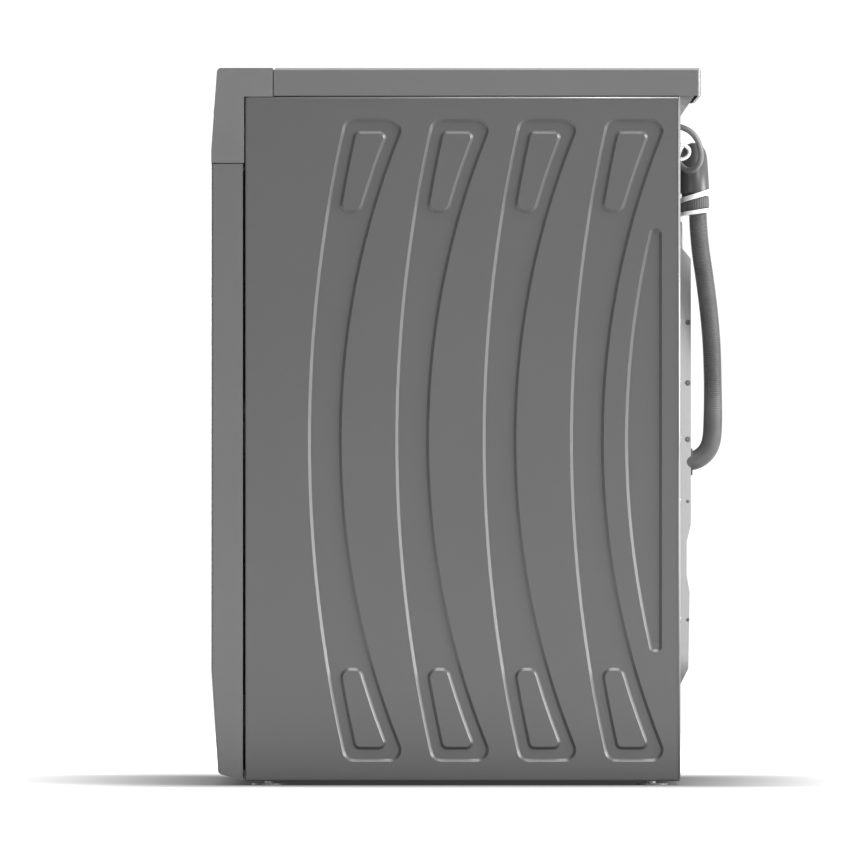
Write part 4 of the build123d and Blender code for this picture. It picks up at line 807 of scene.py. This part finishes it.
def satin_paint(name, tone, roughness=0.34, metallic=0.55, fleck=0.05):
    """Silver paint on sheet metal: fine metal flecks, faint orange peel, a slow drift in gloss."""
    paint = Finish(name, tone, roughness, metallic, Coat_Weight=0.12, Coat_Roughness=0.25)
    flecks = paint.noise(2600.0, 1.0)
    drift = paint.noise(5.0, 2.0)
    sparkle = flecks.between(0.35, 0.65)
    paint.set("Base Color", paint.mix(sparkle, tone * (1 - fleck), tone * (1 + fleck)))
    paint.set("Roughness", roughness + (drift - 0.5) * 0.07 + (flecks - 0.5) * 0.05)
    paint.bump(paint.noise(420.0, 2.0), 0.00006, 0.35)


def moulded_plastic(name, tone, roughness=0.45, grain=900.0, depth=0.00004, **constants):
    """Moulded plastic with a fine spark-eroded grain and a little colour drift."""
    plastic = Finish(name, tone, roughness, **constants)
    drift = plastic.noise(9.0, 3.0)
    grains = plastic.noise(grain, 2.0)
    shades = [tuple(channel * scale for channel in colour_of(tone)) for scale in (0.94, 1.05)]
    plastic.set("Base Color", plastic.mix(drift.between(0.3, 0.7), *shades))
    plastic.set("Roughness", roughness + (grains - 0.5) * 0.12)
    plastic.bump(grains, depth, 0.5)


def zinc_sheet(name, tone, metallic=0.85):
    """Galvanised sheet with its spangle."""
    zinc = Finish(name, tone, 0.4, metallic)
    spangle = zinc.cells(85.0, "Color")
    grey = zinc.node("ShaderNodeRGBToBW", sockets={0: spangle})
    streak = zinc.noise(60.0, 4.0, (1, 1, 0.12))
    zinc.set("Base Color", zinc.mix(grey * 0.7 + streak * 0.3, tone * 0.86, tone * 1.12))
    zinc.set("Roughness", 0.34 + grey * 0.16)
    zinc.bump(streak, 0.00004, 0.3)


def brushed_metal(name, tone, stretch, roughness=0.26):
    """Stainless sheet with fine lines along one way."""
    steel = Finish(name, tone, roughness, 1.0, Anisotropic=0.35)
    lines = steel.noise(260.0, 3.0, stretch)
    steel.set("Base Color", steel.mix(lines, tone * 0.9, tone * 1.06))
    steel.set("Roughness", roughness + (lines - 0.5) * 0.16)
    steel.bump(lines, 0.00003, 0.35)


satin_paint("cabinet_paint", 0.128)
satin_paint("worktop_paint", 0.172, fleck=0.04)
satin_paint("front_paint", 0.16)
# paler than the cabinet paint: a painted highlight along the side panels' folded edges
satin_paint("rolled_edge_highlight", 0.3)
satin_paint("cover_paint", 0.25, roughness=0.42, metallic=0.35)
zinc_sheet("galvanised_sheet", 0.3)
brushed_metal("screw_steel", 0.55, (1, 1, 1))
moulded_plastic("fascia_plastic", 0.112, 0.36, grain=1400.0, depth=0.00002, Coat_Weight=0.15)
brushed_metal("dial_chrome", 0.62, (1, 0.2, 1), 0.2)
moulded_plastic("white_plastic", (0.88, 0.88, 0.87), 0.42)
moulded_plastic("grey_plastic", 0.30, 0.5)
moulded_plastic("dark_metal", 0.045, 0.38, metallic=0.5)
moulded_plastic("cable_plastic", 0.135, 0.42, grain=2200.0)
moulded_plastic("guide_plastic", 0.062, 0.36, grain=2400.0, depth=0.00002)
moulded_plastic("zinc_alloy", 0.5, 0.42, metallic=0.9, grain=500.0)


def hose_plastic():
    """Grey ribbed hose with slow random patches of dust in its tone and gloss."""
    plastic = Finish("hose_plastic", 0.17, 0.46)
    dust = plastic.noise(30.0, 3.0)
    plastic.set("Base Color", plastic.mix(dust.between(0.3, 0.75), 0.055, 0.075))
    plastic.set("Roughness", 0.42 + dust * 0.1)
    plastic.bump(plastic.noise(1600.0), 0.00003, 0.4)


def rubber():
    """Moulded rubber with a faint bloom."""
    black = Finish("grey_rubber", 0.07, 0.6)
    bloom = black.noise(24.0, 4.0)
    black.set("Base Color", black.mix(bloom.between(0.35, 0.8), 0.06, 0.11))
    black.set("Roughness", 0.52 + bloom * 0.18)
    black.bump(black.noise(1500.0, 2.0), 0.00006, 0.5)


def cast_weight():
    """Cast concrete: sand, stones and small pores."""
    cast = Finish("cast_weight", 0.33, 0.85)
    sand = cast.noise(340.0, 5.0)
    stones = cast.cells(70.0).between(0.1, 0.55)
    cast.set("Base Color", cast.mix(sand * 0.6 + stones * 0.4, 0.22, 0.42))
    cast.bump(sand + cast.cells(160.0).between(0.0, 0.25) * 0.6, 0.0006, 0.6)


def circuit_board():
    """Green board with tracks and pads."""
    board = Finish("circuit_board", (0.015, 0.09, 0.04), 0.35, Coat_Weight=0.4)
    tracks = (board.axis("X") * 1400 + board.cells(90.0) * 6).wave().between(0.72, 0.8)
    pads = 1 - board.cells(160.0).between(0.12, 0.16)
    copper = (0.03, 0.2, 0.08)
    board.set("Base Color", board.mix(tracks, (0.012, 0.075, 0.032), copper))
    board.set("Metallic", pads * 0.8)
    board.bump(tracks, 0.00005, 0.5)


def motor_metal():
    """Stator and rotor: copper windings between dark laminations."""
    motor = Finish("motor_metal", 0.1, 0.4, 0.7)
    across = motor.axis("X")
    rise = motor.axis("Z") - drum_z
    turns = (rise.angle_to(across) * 36).wave()
    wires = (motor.axis("Y") * 2600).wave() * 0.5 + 0.5
    copper = motor.mix(wires, (0.35, 0.13, 0.05), (0.6, 0.26, 0.11))
    wound = turns.between(-0.1, 0.15)
    motor.set("Base Color", motor.mix(wound, 0.08, copper))
    motor.set("Roughness", 0.5 - wound * 0.18)
    motor.bump(wires * wound + turns * 0.2, 0.0002, 0.5)


def tinted_window():
    """Dark outer window that can be seen through at its middle and turns black towards its rim."""
    window = Finish("tinted_window", 0.006, 0.05, Coat_Weight=0.6, Coat_Roughness=0.02)
    reach = (window.axis("X") ** 2 + (window.axis("Z") - drum_z) ** 2) ** 0.5
    smear = window.noise(14.0, 3.0)
    window.set("Base Color", window.mix(smear.between(0.45, 0.8), 0.004, 0.009))
    window.set("Roughness", 0.04 + smear.between(0.55, 0.8) * 0.05)
    window.set("Alpha", 0.6 + reach.between(WINDOW_RADIUS * 0.78, WINDOW_RADIUS * 0.88) * 0.4)


def bowl_glass():
    """Clear pressed glass with slow ripples."""
    glass = Finish("bowl_glass", (0.93, 0.95, 0.95), 0.02, 0.0, Transmission_Weight=1.0, IOR=1.5)
    glass.set("Roughness", 0.015 + glass.noise(20.0, 2.0) * 0.02)
    glass.bump(glass.noise(22.0, 1.0), 0.0006, 0.3)


def display_glass():
    """Black glass over the display, with a soft cell pattern just visible."""
    glass = Finish("display_glass", 0.006, 0.08, Coat_Weight=0.8, Coat_Roughness=0.03)
    grid = (glass.axis("X") * 3200).wave() * (glass.axis("Z") * 3200).wave()
    glass.set("Base Color", glass.mix(grid.between(0.2, 0.8), 0.005, 0.012))


def lit_digits():
    """Cool white light through the display."""
    lit = Finish("lit_digits", 0.7, 0.4, Emission_Strength=2.2)
    glow = lit.noise(220.0, 2.0).between(0.25, 0.7)
    lit.set("Emission Color", lit.mix(glow, (0.68, 0.82, 0.95), (0.86, 0.95, 1.0)))


hose_plastic()
rubber()
cast_weight()
circuit_board()
motor_metal()
tinted_window()
bowl_glass()
display_glass()
lit_digits()
brushed_metal("drum_steel", 0.62, (1, 0.05, 1), 0.24)

SLOT_FINISHES = {
    "painted": "cabinet_paint",
    "steel": "galvanised_sheet",
    "cover": "cover_paint",
    "screw": "screw_steel",
    "fascia": "fascia_plastic",
    "dial": "dial_chrome",
    "display": "display_glass",
    "boards": "circuit_board",
    "white_plastic": "white_plastic",
    "grey_plastic": "grey_plastic",
    "dark_metal": "dark_metal",
    "window": "tinted_window",
    "glass": "bowl_glass",
    "drum": "drum_steel",
    "alloy": "zinc_alloy",
    "motor": "motor_metal",
    "weight": "cast_weight",
    "rubber": "grey_rubber",
    "hose": "hose_plastic",
    "cord": "cable_plastic",
}
NODE_FINISHES = {
    "worktop": "worktop_paint",
    "front_panel": "front_paint",
    "door_ring": "fascia_plastic",
    "hose_guide": "guide_plastic",
    "hose_end": "grey_rubber",
}
PIECE_FINISHES = {
    hose: "hose_plastic",
    cord: "cable_plastic",
    coil_tie: "white_plastic",
    cord_tie: "white_plastic",
    control_marks: "white_plastic",
    display_digits: "lit_digits",
    door_trim: "dial_chrome",
    dial_grip: "dial_chrome",
    side_hems: "rolled_edge_highlight",
    upper_strap: "white_plastic",
    lower_strap: "white_plastic",
    cuff: "grey_rubber",
    cover_tabs: "grey_rubber",
    flexing_gasket: SLOT_FINISHES[node_slots["door_gasket"]],
    flexing_springs: SLOT_FINISHES[node_slots["suspension_springs"]],
    sump_bellows: SLOT_FINISHES[node_slots["tub_bellows"]],
    dispenser_bellows: SLOT_FINISHES[node_slots["tub_bellows"]],
}


def wear(piece, finish_name):
    """Gives a piece one finish all over."""
    piece.data.materials.clear()
    piece.data.materials.append(Finish.made[finish_name].material)


for subpart in frame["record"]["subparts"]:
    chosen = NODE_FINISHES.get(subpart["node"], SLOT_FINISHES[subpart["material_slot"]])
    wear(nodes[subpart["node"]], chosen)
for piece, chosen in PIECE_FINISHES.items():
    wear(piece, chosen)


# ======== Floor and light ========

FLOOR_RADIUS = 6.0
FLOOR_FADE_FROM = 1.6
# how far the painted shadow round the machine's foot reaches
PAINTED_SHADOW_REACH = 0.5
FOOTPRINT_X = 0.30
FOOTPRINT_Y = 0.27


def lay_floor():
    """A plain, pale floor with a soft painted shadow round the machine's foot, fading into the
    room.
    """
    built = bmesh.new()
    bmesh.ops.create_circle(built, cap_ends=True, radius=FLOOR_RADIUS, segments=96)
    mesh = bpy.data.meshes.new("studio_floor")
    built.to_mesh(mesh)
    built.free()
    floor = bpy.data.objects.new("studio_floor", mesh)
    bpy.context.scene.collection.objects.link(floor)
    pale = Finish("studio_floor", 0.9, 0.9, Emission_Strength=0.5)
    right = (pale.axis("X").size() - FOOTPRINT_X).at_least(0.0)
    rear = (pale.axis("Y").size() - FOOTPRINT_Y).at_least(0.0)
    # painted shadow: the floor's colour and glow darken towards the machine's footprint
    lit = ((right ** 2 + rear ** 2) ** 0.5).between(-PAINTED_SHADOW_REACH / 5, PAINTED_SHADOW_REACH)
    pale.set("Base Color", pale.mix(lit, 0.08, 0.92))
    pale.set("Emission Color", pale.mix(lit, 0.0, 1.0))
    away = (pale.axis("X") ** 2 + pale.axis("Y") ** 2) ** 0.5
    pale.set("Alpha", 1 - away.between(FLOOR_FADE_FROM, FLOOR_RADIUS * 0.95))
    floor.data.materials.append(pale.material)


def light_room():
    """A white room whose light comes mostly from behind the machine and above it."""
    world = bpy.data.worlds.new("studio")
    bpy.context.scene.world = world
    world.use_nodes = True
    room = Nodes(world.node_tree)
    right = room.axis("X", "Generated")
    rear = room.axis("Y", "Generated")
    above = room.axis("Z", "Generated")
    light = 0.3 + rear.between(0.1, 1.0) * 0.5 + above.between(0.2, 1.0) * 0.3
    light = light - (rear * -1).between(0.1, 1.0) * 0.2 + (right * -1).between(0.0, 1.0) * 0.2
    seen = room.node("ShaderNodeLightPath", output="Is Camera Ray")
    back = world.node_tree.nodes["Background"]
    room.feed(back.inputs["Color"], (1.0, 1.0, 1.0))
    room.feed(back.inputs["Strength"], light + seen * (1.1 - light))


def hang_light(name, spot, target, size, power):
    """One square soft light, aimed at a point."""
    data = bpy.data.lights.new(name, "AREA")
    data.shape = "SQUARE"
    data.size = size
    data.energy = power
    light = bpy.data.objects.new(name, data)
    light.location = spot
    light.rotation_mode = "QUATERNION"
    light.rotation_quaternion = (Vector(target) - Vector(spot)).to_track_quat("-Z", "Y")
    bpy.context.scene.collection.objects.link(light)


lay_floor()
light_room()
hang_light("rear_softbox", (1.6, 3.8, 1.8), (0.2, 0.0, 0.45), 2.4, 260)
hang_light("top_softbox", (1.4, 0.3, 3.4), (0.2, 0.0, 0.4), 2.2, 90)
hang_light("front_softbox", (-3.3, -3.2, 1.5), (-0.1, -0.2, 0.45), 2.4, 190)
bpy.context.scene.view_settings.view_transform = "Standard"
